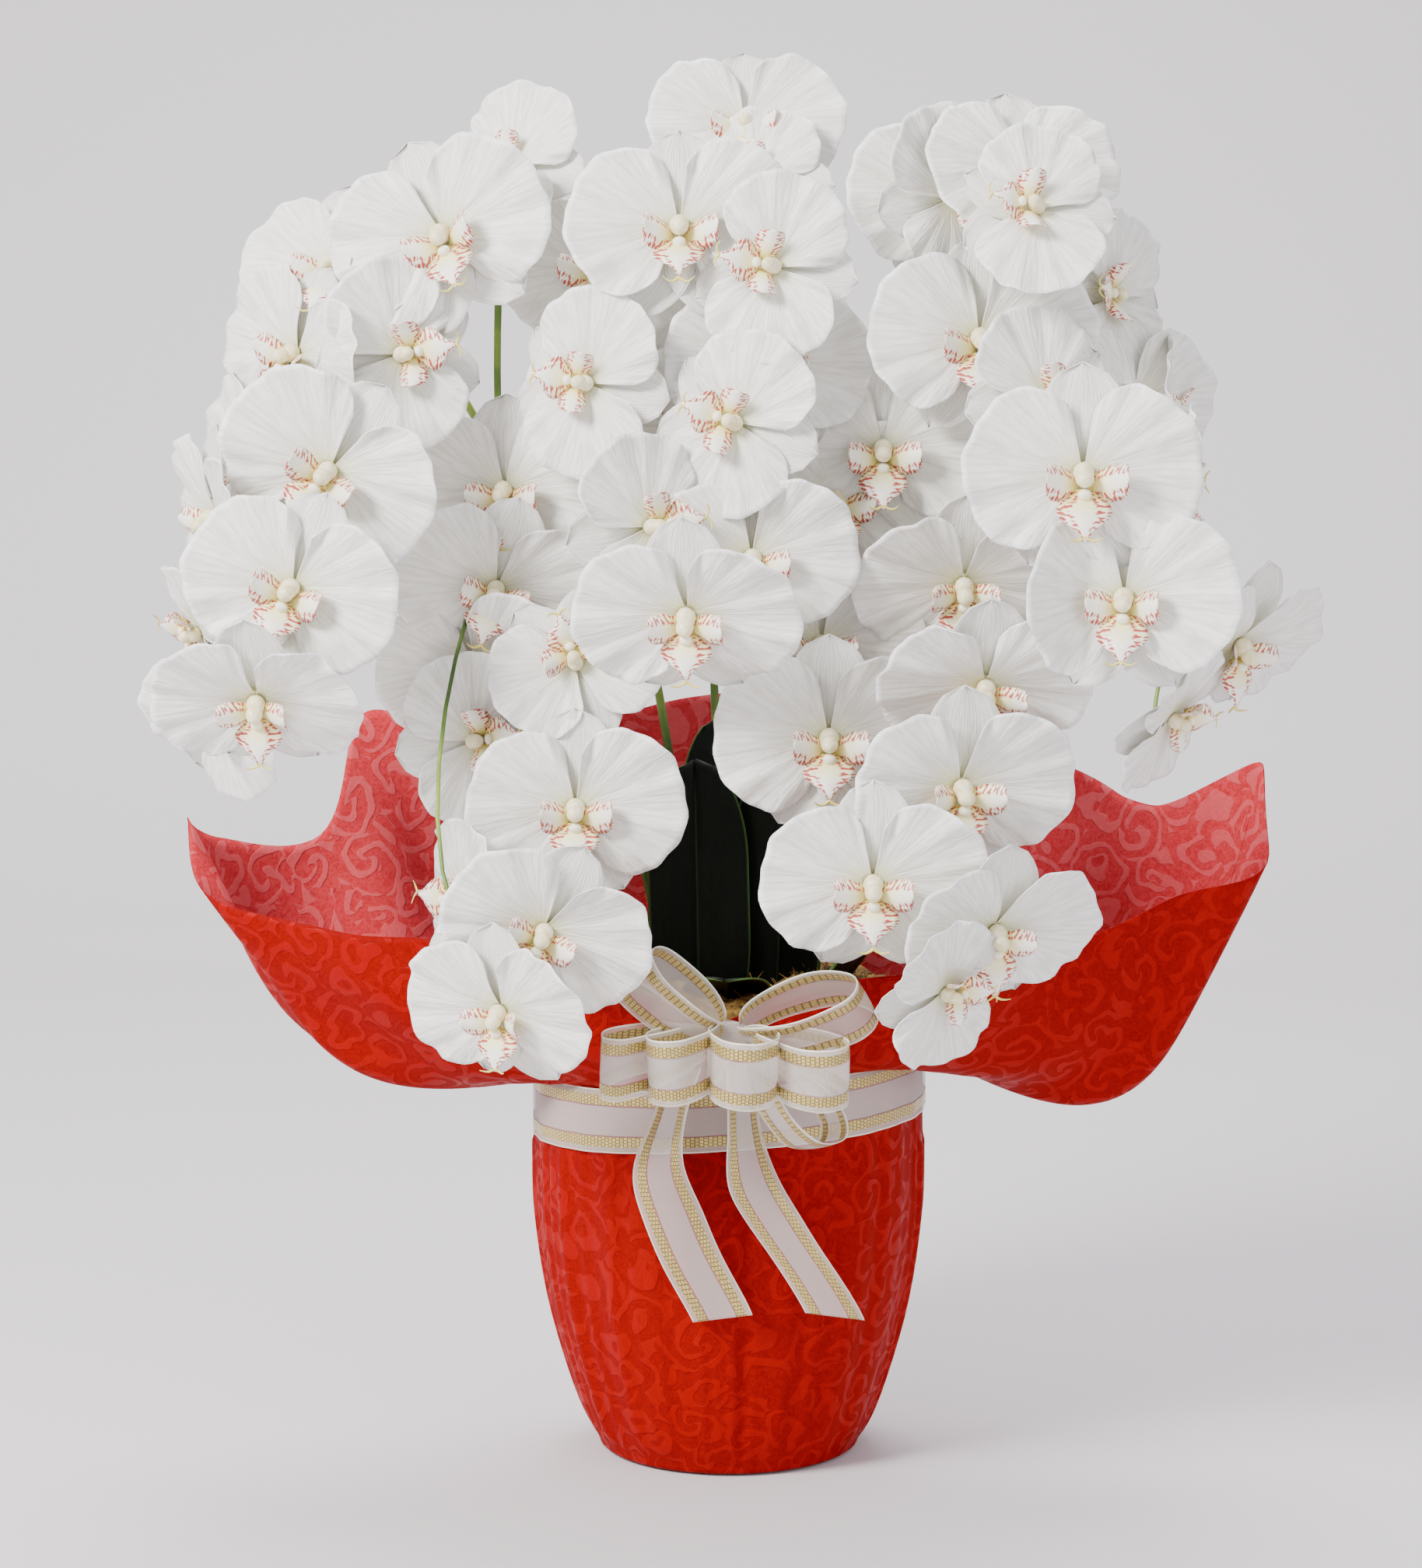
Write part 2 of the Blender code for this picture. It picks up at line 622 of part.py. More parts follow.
def main():
    clear_scene()
    plant = bpy.data.collections.new("potted_orchid")
    cutters = bpy.data.collections.new("cutters")
    bpy.context.scene.collection.children.link(plant)
    bpy.context.scene.collection.children.link(cutters)

    plastic = make_material("pot plastic", (0.04, 0.04, 0.045), 0.5)
    bark = make_material("bark", (0.09, 0.05, 0.03), 0.9)
    moss = make_material("dried moss", (0.30, 0.20, 0.06), 0.95)
    wrap = make_material("red wrap", (0.60, 0.01, 0.01), 0.6)
    ribbon = make_material("cream ribbon", (0.80, 0.72, 0.58), 0.4)
    leaf = make_material("leaf", (0.01, 0.04, 0.01), 0.4)
    stem = make_material("stem", (0.20, 0.32, 0.04), 0.5)
    petal = make_material("petal", (0.90, 0.90, 0.88), 0.5)

    pieces = [
        make_pot(plastic, plant),
        make_medium(bark, plant),
        make_moss(moss, plant),
        make_wrap(wrap, plant),
        make_band(ribbon, plant),
        make_bow(ribbon, plant, cutters),
        make_tail("ribbon_tail_left", TAIL_LEFT, ribbon, plant),
        make_tail("ribbon_tail_right", TAIL_RIGHT, ribbon, plant),
    ]
    for row in LEAVES:
        pieces.append(make_leaf(*row, leaf, plant))
    obstacles = [surface(evaluated_mesh(piece)) for piece in pieces]

    stems = [surface(stem_mesh(name)) for name in STEMS]
    mesh = flower_mesh(petal, plant, cutters)
    matrices = place_flowers(mesh, obstacles + stems)
    flowers = []
    for number, matrix in sorted(matrices.items()):
        item = add_object(f"flower_{FLOWERS[number][0]}_{number + 1:02d}", mesh, petal, plant)
        item.matrix_world = matrix
        flowers.append(surface(mesh, matrix))
    make_sprays(matrices, obstacles + flowers, stem, plant, cutters)


main()
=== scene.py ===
import math
import random

import bmesh
import bpy
from mathutils import Matrix, Vector
from mathutils.kdtree import KDTree


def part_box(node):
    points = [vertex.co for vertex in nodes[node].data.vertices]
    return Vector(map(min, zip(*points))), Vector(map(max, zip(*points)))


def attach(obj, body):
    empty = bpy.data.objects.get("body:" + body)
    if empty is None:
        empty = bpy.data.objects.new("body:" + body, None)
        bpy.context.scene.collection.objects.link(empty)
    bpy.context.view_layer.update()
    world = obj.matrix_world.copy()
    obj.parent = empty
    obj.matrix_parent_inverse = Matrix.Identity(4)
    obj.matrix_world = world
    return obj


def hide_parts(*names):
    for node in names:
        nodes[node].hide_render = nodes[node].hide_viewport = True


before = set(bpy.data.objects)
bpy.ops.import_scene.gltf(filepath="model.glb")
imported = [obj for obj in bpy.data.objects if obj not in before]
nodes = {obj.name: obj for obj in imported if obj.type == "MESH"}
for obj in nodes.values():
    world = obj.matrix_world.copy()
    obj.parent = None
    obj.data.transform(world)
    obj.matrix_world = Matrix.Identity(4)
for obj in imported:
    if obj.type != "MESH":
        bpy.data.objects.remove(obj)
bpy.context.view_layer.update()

mm = 0.001
print("frame loaded:", len(nodes), "nodes")


# ---- small helpers used by every piece

def toLinear(hexColour):
    channels = [int(hexColour[i:i + 2], 16) / 255 for i in (1, 3, 5)]
    return tuple(c / 12.92 if c <= 0.04045 else ((c + 0.055) / 1.055) ** 2.4 for c in channels) + (1.0,)


def addNode(material, kind, values=None, links=None, **settings):
    node = material.node_tree.nodes.new(kind)
    for key, value in settings.items():
        setattr(node, key, value)
    for key, value in (values or {}).items():
        node.inputs[key].default_value = value
    for key, source in (links or {}).items():
        material.node_tree.links.new(source, node.inputs[key])
    return node


def newMaterial(name, colour, roughness, **constants):
    material = bpy.data.materials.new(name)
    material.use_nodes = True
    shader = material.node_tree.nodes["Principled BSDF"]
    shader.inputs["Base Color"].default_value = toLinear(colour)
    shader.inputs["Roughness"].default_value = roughness
    for key, value in constants.items():
        shader.inputs[key.replace("_", " ")].default_value = value
    return material, shader


def setStops(ramp, stops):
    # a ramp starts with two stops; the rest are added
    elements = ramp.color_ramp.elements
    while len(elements) < len(stops):
        elements.new(0.5)
    for element, (place, colour) in zip(elements, stops):
        element.position = place
        element.color = toLinear(colour) if isinstance(colour, str) else (colour, colour, colour, 1)


def curveThrough(points, share, closed=False):
    # a smooth curve through the points, share from 0 to 1
    spans = len(points) if closed else len(points) - 1
    place = min(max(share, 0.0), 1.0) * spans
    index = min(int(place), spans - 1)
    t = place - index
    ring = [points[(index + k) % len(points)] if closed else points[min(max(index + k, 0), len(points) - 1)]
            for k in (-1, 0, 1, 2)]
    a, b, c, d = ring
    return 0.5 * (2 * b + (c - a) * t + (2 * a - 5 * b + 4 * c - d) * t ** 2
                  + (3 * b - a - 3 * c + d) * t ** 3)


def addSheet(bm, across, along, place, slot=0, lengths=1.0):
    # a grid bent into place(u, v); its UV map is u, and v times its length in widths
    uvs = bm.loops.layers.uv.verify()
    made = bmesh.ops.create_grid(bm, x_segments=across, y_segments=along, size=0.5)
    where = {corner: (corner.co.x + 0.5, corner.co.y + 0.5) for corner in made["verts"]}
    faces = {face for corner in made["verts"] for face in corner.link_faces}
    for face in faces:
        face.material_index = slot
        face.smooth = True
        for loop in face.loops:
            loop[uvs].uv = (where[loop.vert][0], where[loop.vert][1] * lengths)
    for corner, (u, v) in where.items():
        corner.co = place(u, v)
    return made["verts"], where


def addBall(bm, centre, radii, slot, turn=0.0):
    # an egg-shaped closed lump
    uvs = bm.loops.layers.uv.verify()
    matrix = (Matrix.Translation(Vector(centre) * mm) @ Matrix.Rotation(turn, 4, "X")
              @ Matrix.Diagonal((*radii, 1)))
    made = bmesh.ops.create_uvsphere(bm, u_segments=12, v_segments=8, radius=mm, matrix=matrix)
    for corner in made["verts"]:
        for face in corner.link_faces:
            face.material_index = slot
            face.smooth = True
        for loop in corner.link_loops:
            loop[uvs].uv = (0.5, 0.5)


def makeObject(name, mesh, materials):
    item = bpy.data.objects.new(name, mesh)
    bpy.context.scene.collection.objects.link(item)
    # clearing the materials also resets each face's slot, so the slots are put back
    slots = [face.material_index for face in mesh.polygons]
    mesh.materials.clear()
    for material in materials:
        mesh.materials.append(material)
    for face, slot in zip(mesh.polygons, slots):
        face.material_index = slot
    return item


def meshOf(bm, name):
    mesh = bpy.data.meshes.new(name)
    bm.to_mesh(mesh)
    bm.free()
    return mesh


def thickened(mesh, thickness, offset=0.0, innerSlot=0):
    # Solidify on a spare object, read back as a mesh
    slotCount = max([face.material_index for face in mesh.polygons] or [0]) + innerSlot + 1
    spare = makeObject("spare", mesh, [None] * slotCount)
    solid = spare.modifiers.new("thickness", "SOLIDIFY")
    solid.thickness = thickness
    solid.offset = offset
    solid.material_offset = innerSlot
    result = bpy.data.meshes.new_from_object(spare.evaluated_get(bpy.context.evaluated_depsgraph_get()))
    bpy.data.objects.remove(spare)
    return result


def tubeMesh(points, radii, roundness=1):
    # a tapered round tube through points
    data = bpy.data.curves.new("tube", "CURVE")
    data.dimensions = "3D"
    data.bevel_depth = mm
    data.bevel_resolution = roundness
    data.use_fill_caps = True
    spline = data.splines.new("POLY")
    spline.points.add(len(points) - 1)
    for target, point, radius in zip(spline.points, points, radii):
        target.co = (*point, 1)
        target.radius = radius
    spare = bpy.data.objects.new("tube", data)
    bpy.context.scene.collection.objects.link(spare)
    result = bpy.data.meshes.new_from_object(spare.evaluated_get(bpy.context.evaluated_depsgraph_get()))
    bpy.data.objects.remove(spare)
    return result


def addMesh(bm, mesh, matrix=None, slot=None):
    # a copy of mesh, moved by matrix, into bm
    spare = mesh.copy()
    if matrix:
        spare.transform(matrix)
    if slot is not None:
        for face in spare.polygons:
            face.material_index = slot
    bm.from_mesh(spare)
    bpy.data.meshes.remove(spare)


def fitToBox(mesh, low, high):
    # stretches a mesh until it fills the box from low to high
    corners = [corner.co for corner in mesh.vertices]
    lowest = Vector([min(c[k] for c in corners) for k in range(3)])
    highest = Vector([max(c[k] for c in corners) for k in range(3)])
    for corner in mesh.vertices:
        for k in range(3):
            share = (corner.co[k] - lowest[k]) / (highest[k] - lowest[k])
            corner.co[k] = low[k] + share * (high[k] - low[k])


# ---- flowers

flower = {
    "petalLength": 55, "petalSpread": 74, "petalRise": 7,
    "sepalLength": 49, "sepalWidth": 41, "lowerSepalLength": 48, "lowerSepalWidth": 35,
    "lipLength": 21, "cloth": 0.45, "variants": 6,
    # the CAD disc: span between its side points, top point above their middle, and set back
    "discSpan": 112, "topRise": 50, "topBack": 8, "sidesForward": 4,
}

petalSatin, petalShader = newMaterial("polyester satin petal", "#F8F7F4", 0.46,
                                      Sheen_Weight=0.25, Sheen_Roughness=0.35, Specular_IOR_Level=0.45)
# woven satin, heat-embossed with fan veins: soft streaks, a warm green base near the claw, and a painted
# highlight along the rolled rim at the tip
uv = addNode(petalSatin, "ShaderNodeUVMap")
split = addNode(petalSatin, "ShaderNodeSeparateXYZ", links={"Vector": uv.outputs[0]})
veinMap = addNode(petalSatin, "ShaderNodeMapping", {"Scale": (46, 3.2, 1)}, {"Vector": uv.outputs[0]})
veins = addNode(petalSatin, "ShaderNodeTexNoise", {"Scale": 1.0, "Detail": 3.0, "Distortion": 0.5},
                {"Vector": veinMap.outputs[0]})
coordinates = addNode(petalSatin, "ShaderNodeTexCoord")
crumple = addNode(petalSatin, "ShaderNodeTexNoise", {"Scale": 150.0, "Detail": 2.0},
                  {"Vector": coordinates.outputs["Object"]})
throatAndRimHighlight = addNode(petalSatin, "ShaderNodeValToRGB", links={"Fac": split.outputs["Y"]})
# the stops from 0.955 on paint the rolled rim at the petal's tip white: a painted highlight
setStops(throatAndRimHighlight, [(0.03, "#E9EBBE"), (0.17, "#F3F3E0"), (0.36, "#F6F5EF"), (0.955, "#F4F3EE"),
                  (0.975, "#FFFFFF")])
streaks = addNode(petalSatin, "ShaderNodeValToRGB", links={"Fac": veins.outputs["Fac"]})
setStops(streaks, [(0.34, "#DAD7D2"), (0.6, "#FFFFFF")])
tinted = addNode(petalSatin, "ShaderNodeMix", {"Factor": 0.55}, data_type="RGBA", blend_type="MULTIPLY")
petalSatin.node_tree.links.new(throatAndRimHighlight.outputs[0], tinted.inputs["A"])
petalSatin.node_tree.links.new(streaks.outputs[0], tinted.inputs["B"])
relief = addNode(petalSatin, "ShaderNodeMath", {1: 0.35},
                 {0: crumple.outputs["Fac"], 2: veins.outputs["Fac"]}, operation="MULTIPLY_ADD")
petalBump = addNode(petalSatin, "ShaderNodeBump", {"Strength": 0.6, "Distance": 0.0013},
                    {"Height": relief.outputs[0]})
petalSatin.node_tree.links.new(tinted.outputs["Result"], petalShader.inputs["Base Color"])
petalSatin.node_tree.links.new(petalBump.outputs[0], petalShader.inputs["Normal"])

lipCloth, lipShader = newMaterial("printed cream lip", "#F7F1DC", 0.5, Sheen_Weight=0.15)
# the same cloth in cream, with a yellow base and short red-brown strokes printed near its edges
lipUv = addNode(lipCloth, "ShaderNodeUVMap")
lipSplit = addNode(lipCloth, "ShaderNodeSeparateXYZ", links={"Vector": lipUv.outputs[0]})
lipBase = addNode(lipCloth, "ShaderNodeValToRGB", links={"Fac": lipSplit.outputs["Y"]})
setStops(lipBase, [(0.05, "#EBDD74"), (0.3, "#F8F0BC"), (0.6, "#FFFBEE")])
fromMiddle = addNode(lipCloth, "ShaderNodeMath", {1: 0.5}, {0: lipSplit.outputs["X"]}, operation="SUBTRACT")
edgeward = addNode(lipCloth, "ShaderNodeMath", links={0: fromMiddle.outputs[0]}, operation="ABSOLUTE")
edgeMask = addNode(lipCloth, "ShaderNodeValToRGB", links={"Fac": edgeward.outputs[0]})
setStops(edgeMask, [(0.16, 0.0), (0.24, 1.0)])
strokeMap = addNode(lipCloth, "ShaderNodeMapping", {"Scale": (5, 17, 1)}, {"Vector": lipUv.outputs[0]})
strokes = addNode(lipCloth, "ShaderNodeTexNoise", {"Scale": 1.0, "Detail": 1.0},
                  {"Vector": strokeMap.outputs[0]})
strokeMask = addNode(lipCloth, "ShaderNodeValToRGB", links={"Fac": strokes.outputs["Fac"]})
setStops(strokeMask, [(0.50, 0.0), (0.54, 1.0)])
printed = addNode(lipCloth, "ShaderNodeMath", links={0: edgeMask.outputs[0], 1: strokeMask.outputs[0]},
                  operation="MULTIPLY")
lipMix = addNode(lipCloth, "ShaderNodeMix", {7: toLinear("#B4483C")},
                 {"Factor": printed.outputs[0], 6: lipBase.outputs[0]}, data_type="RGBA")
lipCloth.node_tree.links.new(lipMix.outputs[2], lipShader.inputs["Base Color"])

columnWax, columnShader = newMaterial("moulded cream column", "#EFE4BC", 0.38)
# soft PVC, a little mottled where the mould was dusty
columnCoordinates = addNode(columnWax, "ShaderNodeTexCoord")
mottle = addNode(columnWax, "ShaderNodeTexNoise", {"Scale": 380.0, "Detail": 2.0},
                 {"Vector": columnCoordinates.outputs["Object"]})
mottleRamp = addNode(columnWax, "ShaderNodeValToRGB", links={"Fac": mottle.outputs["Fac"]})
setStops(mottleRamp, [(0.35, "#E9DBA8"), (0.65, "#F8F0D0")])
columnWax.node_tree.links.new(mottleRamp.outputs[0], columnShader.inputs["Base Color"])


def petalPlace(side, rng, fold):
    # a fan round its claw: straight lines from the claw are its veins
    rise = math.radians(flower["petalRise"] + rng.uniform(-3, 3))
    phase, phaseTwo = rng.uniform(0, 6.3), rng.uniform(0, 6.3)
    lift, curl = rng.uniform(2.0, 7.5), rng.uniform(-5.0, 6.0)
    length = flower["petalLength"] * rng.uniform(0.97, 1.03)

    def place(u, v):
        angle = (u - 0.5) * 2 * math.radians(flower["petalSpread"])
        off = abs(u - 0.5) * 2
        outline = (1 - 0.27 * off ** 2 - 0.24 * off ** 6 + 0.014 * math.sin(9 * angle + phase)
                   + 0.008 * math.sin(23 * angle))
        reach = 3 + (length - 3) * outline * v
        ripple = v ** 2.2 * (1.9 * math.sin(5.5 * angle + phase) + 1.5 * math.sin(15 * angle + phaseTwo))
        ripple += v ** 1.4 * 0.45 * math.sin(27 * angle + phase)
        rimRoll = 0.8 * max(v - 0.9, 0) / 0.1
        height = lift * math.sin(v * 1.7) - 3.2 * (v * math.sin(angle)) ** 2 + curl * v ** 3 * math.sin(angle)
        height += ripple + rimRoll + 1.0
        point = Vector((reach * math.cos(angle + rise), reach * math.sin(angle + rise), height))
        if fold and side < 0:
            bend = max(point.x - 16, 0) / 40
            point.z += 26 * bend
            point.x -= 14 * bend
        point.x *= side
        return point * mm
    return place


def sepalPlace(turn, length, width, rng):
    # an oval with a soft ridge, behind the petals
    phase = rng.uniform(0, 6.3)
    back = rng.uniform(1.0, 5.0)

    def place(u, v):
        t = (u - 0.5) * 2
        half = width / 2 * (0.16 + 0.84 * math.sin(math.pi * min(v * 0.97 + 0.03, 1) ** 0.9) ** 0.62)
        half *= 1 if v < 0.9 else math.sqrt(max(1 - ((v - 0.9) / 0.1) ** 2, 0))
        height = -2.2 - back * v ** 2 + 1.2 * math.exp(-(t / 0.16) ** 2) * math.sin(math.pi * v)
        height += 2.4 * t * t * math.sin(math.pi * v) + 0.6 * v * math.sin(5 * t + phase)
        height += 0.5 * (abs(t) > 0.9)
        point = Vector((t * half, 2 + (length - 2) * v, height)) * mm
        point.rotate(Matrix.Rotation(turn, 3, "Z"))
        return point
    return place


def lobePlace(side, rng):
    # one upright cupped side lobe of the lip
    flare = rng.uniform(0.92, 1.1)

    def place(u, v):
        t = (u - 0.5) * 2
        half = 9.2 * math.sin(math.pi * (0.14 + 0.78 * v)) ** 0.75
        x = side * (2.6 + 15.5 * flare * math.sin(v * 1.75) - 3.6 * (1 - t * t) * math.sin(math.pi * v))
        y = -6.0 + t * half * 0.9 + 5.0 * v
        z = 4.5 + 13.5 * v ** 0.8 - 2.2 * t * t
        return Vector((x, y, z)) * mm
    return place


def midLobePlace(rng):
    # the anchor-shaped middle of the lip
    drop = rng.uniform(0.9, 1.1)

    def place(u, v):
        t = (u - 0.5) * 2
        half = 3.2 + 10.0 * math.sin(math.pi * min(v / 0.86, 1)) ** 1.3 - 1.5 * v
        y = -7.0 - flower["lipLength"] * v * drop
        z = 7.0 + 10.5 * math.sin(v * 1.8) - 3.4 * abs(t) ** 1.5 * math.sin(math.pi * min(v / 0.9, 1))
        return Vector((t * max(half, 0.8), y, z)) * mm
    return place


def makeFlower(seed, fold=False):
    rng = random.Random(seed)
    bm = bmesh.new()
    addSheet(bm, 8, 10, sepalPlace(0, flower["sepalLength"], flower["sepalWidth"], rng))
    for side in (-1, 1):
        turn = math.radians(180 + side * 30)
        addSheet(bm, 7, 10, sepalPlace(turn, flower["lowerSepalLength"], flower["lowerSepalWidth"], rng))
    for side in (-1, 1):
        addSheet(bm, 46, 15, petalPlace(side, rng, fold))
        addSheet(bm, 8, 8, lobePlace(side, rng), 1)
    addSheet(bm, 8, 10, midLobePlace(rng), 1)
    bmesh.ops.remove_doubles(bm, verts=bm.verts, dist=0.00002)
    bmesh.ops.dissolve_degenerate(bm, edges=bm.edges, dist=0.00002)
    sheets = thickened(meshOf(bm, "sheets"), flower["cloth"] * mm)
    bm = bmesh.new()
    bm.from_mesh(sheets)
    addBall(bm, (0, 0.2, 5.5), (4.9, 5.2, 5.2), 2)
    addBall(bm, (0, -1.8, 11.0), (4.3, 4.1, 5.0), 2, math.radians(25))
    addBall(bm, (0, -9.0, 10.5), (3.2, 2.6, 2.6), 1)
    addBall(bm, (0, 0.4, -2.6), (3.2, 3.2, 3.4), 2)
    tip = midLobePlace(random.Random(seed))(0.5, 1.0)
    for side in (-1, 1):
        path = [tip + Vector((side * 7.5 * s, -2.2 * math.sin(3 * s), 4.5 * s * s - 1.0 * s)) * mm
                for s in (0, 0.25, 0.5, 0.75, 1.0)]
        addMesh(bm, tubeMesh(path, (0.9, 0.75, 0.6, 0.45, 0.25), 0), slot=1)
    for face in bm.faces:
        face.smooth = True
    return meshOf(bm, f"flower_{seed}")


def flowerMatrix(node):
    # the flower's place, turn and size, read from two far corners of its CAD disc and the corner
    # furthest off the line between them
    # known fault: the search doesn't try every pair of corners, so on 20 of the 41 discs it stops
    # at a span 15 to 18 mm too short, and that flower comes out too small, turned and off its place
    points = [corner.co.copy() for corner in nodes[node].data.vertices]
    first = max(points, key=lambda p: (p - points[0]).length)
    left = max(points, key=lambda p: (p - first).length)
    pair = max(((a, b) for a in points for b in (left, first)), key=lambda ab: (ab[0] - ab[1]).length)
    pair = max(((a, pair[0]) for a in points), key=lambda ab: (ab[0] - ab[1]).length)
    middle = (pair[0] + pair[1]) / 2
    across = (pair[0] - pair[1]).normalized()
    scale = (pair[0] - pair[1]).length / (flower["discSpan"] * mm)

    def offLine(p):
        away = p - middle
        return away - across * away.dot(across)

    top = offLine(max(points, key=lambda p: offLine(p).length)).normalized()
    forward = across.cross(top)
    if max(points, key=lambda p: abs((p - middle).dot(forward))).dot(forward) < middle.dot(forward):
        forward.negate()
    length = math.hypot(flower["topRise"], flower["topBack"])
    up = (top * flower["topRise"] + forward * flower["topBack"]) / length
    out = (forward * flower["topRise"] - top * flower["topBack"]) / length
    origin = middle - out * flower["sidesForward"] * mm * scale
    right = up.cross(out)
    matrix = Matrix((right, up, out)).transposed().to_4x4()
    return Matrix.Translation(origin) @ matrix @ Matrix.Scale(scale, 4)


def turnedFlower(centre, yaw, pitch, roll, size):
    # a flower that faces yaw degrees to the right of -Y and pitch degrees up
    aim = Matrix.Rotation(math.radians(yaw), 4, "Z") @ Matrix.Rotation(math.radians(90 - pitch), 4, "X")
    return (Matrix.Translation(centre) @ aim @ Matrix.Rotation(math.radians(-roll), 4, "Z")
            @ Matrix.Scale(size, 4))


# flowers that CAD doesn't have, behind or between the others: the flower each is placed from,
# how far away it is in millimetres, the way it faces (yaw, pitch, roll) and its size
backFlowers = {
    "left_outer": [("flower_left_outer_01", (-33, 25, 40), (-25, 20, 0), 0.92),
                   ("flower_left_outer_01", (-50, 12, 0), (-45, 5, 20), 0.9)],
    "left_inner": [("flower_left_inner_11", (14, 30, 118), (-10, 0, 0), 0.95),
                   ("flower_left_inner_11", (10, 14, 72), (0, -5, 15), 0.92),
                   ("flower_left_inner_11", (0, 16, 34), (-10, -10, -10), 0.9)],
    "middle": [("flower_middle_17", (-38, 30, -20), (-15, 20, 0), 0.92),
               ("flower_middle_18", (-6, 28, 26), (0, 30, 0), 0.88),
               ("flower_middle_20", (20, 30, -8), (0, 5, 0), 0.92),
               ("flower_middle_20", (64, 25, -22), (12, 18, 10), 0.95),
               ("flower_middle_21", (16, 26, 26), (5, 10, 0), 0.92),
               ("flower_middle_23", (30, 42, 22), (5, 0, 0), 0.92),
               ("flower_middle_22", (88, 45, 10), (10, 0, 0), 0.92)],
    "right_inner": [("flower_right_inner_26", (-38, 15, 62), (0, 0, 0), 0.95),
                    ("flower_right_inner_28", (-3, 24, 42), (0, 5, 0), 0.92),
                    ("flower_right_inner_24", (0, 20, 0), (8, 15, 0), 0.95)],
    "right_outer": [("flower_right_outer_33", (-4, 34, 20), (15, 30, 0), 0.9),
                    ("flower_right_outer_35", (44, 40, -4), (35, 5, 0), 0.92)],
}

variants = [makeFlower(11 + k) for k in range(flower["variants"])]
foldedFlower = makeFlower(40, fold=True)
foldedOnes = ("flower_right_outer_39",)
flowerPlaces = {}
for spray, extras in backFlowers.items():
    names = sorted(n for n in nodes if n.startswith(f"flower_{spray}_"))
    places = [flowerMatrix(name) for name in names]
    for neighbour, offset, facing, size in extras:
        centre = flowerMatrix(neighbour).translation + Vector(offset) * mm
        places.append(turnedFlower(centre, *facing, size))
    flowerPlaces[spray] = places
    bm = bmesh.new()
    for k, matrix in enumerate(places):
        folded = k < len(names) and names[k] in foldedOnes
        addMesh(bm, foldedFlower if folded else variants[(k * 5 + len(spray)) % len(variants)], matrix)
    piece = makeObject(f"flowers_{spray}", meshOf(bm, f"flowers_{spray}"), [petalSatin, lipCloth, columnWax])
    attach(piece, "root")
    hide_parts(*names)
    print(piece.name, len(places), "flowers")


# ---- stems and flower stalks

stemGreen, stemShader = newMaterial("PVC-covered stem wire", "#5B7A2C", 0.42)
# soft green plastic over wire: fresh yellow-green and darker green in random patches
stemCoordinates = addNode(stemGreen, "ShaderNodeTexCoord")
stemPatch = addNode(stemGreen, "ShaderNodeTexNoise", {"Scale": 22.0, "Detail": 4.0},
                    {"Vector": stemCoordinates.outputs["Object"]})
stemRamp = addNode(stemGreen, "ShaderNodeValToRGB", links={"Fac": stemPatch.outputs["Fac"]})
setStops(stemRamp, [(0.34, "#33501C"), (0.5, "#5C7D2B"), (0.66, "#8FAA3E")])
stemGrain = addNode(stemGreen, "ShaderNodeTexNoise", {"Scale": 900.0},
                    {"Vector": stemCoordinates.outputs["Object"]})
stemBump = addNode(stemGreen, "ShaderNodeBump", {"Strength": 0.3, "Distance": 0.0003},
                   {"Height": stemGrain.outputs["Fac"]})
stemGreen.node_tree.links.new(stemRamp.outputs[0], stemShader.inputs["Base Color"])
stemGreen.node_tree.links.new(stemBump.outputs[0], stemShader.inputs["Normal"])

stem = {"swell": 0.35, "stalk": 1.15, "backDepth": 5.0}
for spray, places in flowerPlaces.items():
    bm = bmesh.new()
    bm.from_mesh(nodes[f"stem_{spray}"].data)
    bmesh.ops.remove_doubles(bm, verts=bm.verts, dist=0.00001)
    bmesh.ops.join_triangles(bm, faces=bm.faces, angle_face_threshold=0.6, angle_shape_threshold=1.2)
    bm.normal_update()
    tree = KDTree(len(bm.verts))
    for k, corner in enumerate(bm.verts):
        tree.insert(corner.co, k)
        corner.co += corner.normal * stem["swell"] * mm
    tree.balance()
    for matrix in places[len(places) - len(backFlowers[spray]):]:
        start = matrix @ Vector((0, 0, -stem["backDepth"] * mm))
        end = tree.find(start + Vector((0, 0, 0.02)))[0]
        back = matrix.to_3x3() @ Vector((0, 0, -0.02))
        path = [start, start + back * 0.6, (start + back + end) / 2, end.lerp(start, 0.15), end]
        points = [curveThrough(path, s / 10) for s in range(11)]
        addMesh(bm, tubeMesh(points, [stem["stalk"]] * 11))
    for face in bm.faces:
        face.smooth = True
        face.material_index = 0
    piece = makeObject(f"stems_{spray}", meshOf(bm, f"stems_{spray}"), [stemGreen])
    smooth = piece.modifiers.new("round", "SUBSURF")
    smooth.levels = 1
    smooth.render_levels = 1
    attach(piece, "root")
    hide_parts(f"stem_{spray}")
print("stems done")


# ---- leaves

leaf = {
    # way it points in degrees, slope at its root and its tip in degrees
    "leaf_back": (100, 88, 80), "leaf_middle_left": (100, 88, 80), "leaf_middle_right": (62, 88, 78),
    "leaf_left": (188, 80, 20), "leaf_right": (346, 79, 6), "leaf_front": (268, 88, 8),
}
leafShape = {"bend": 1.7, "fold": 0.28, "length": 200, "width": 54, "thickness": 1.6, "wave": 1.2}

leafSkin, leafShader = newMaterial("flocked latex leaf", "#08140A", 0.5, Specular_IOR_Level=0.15)
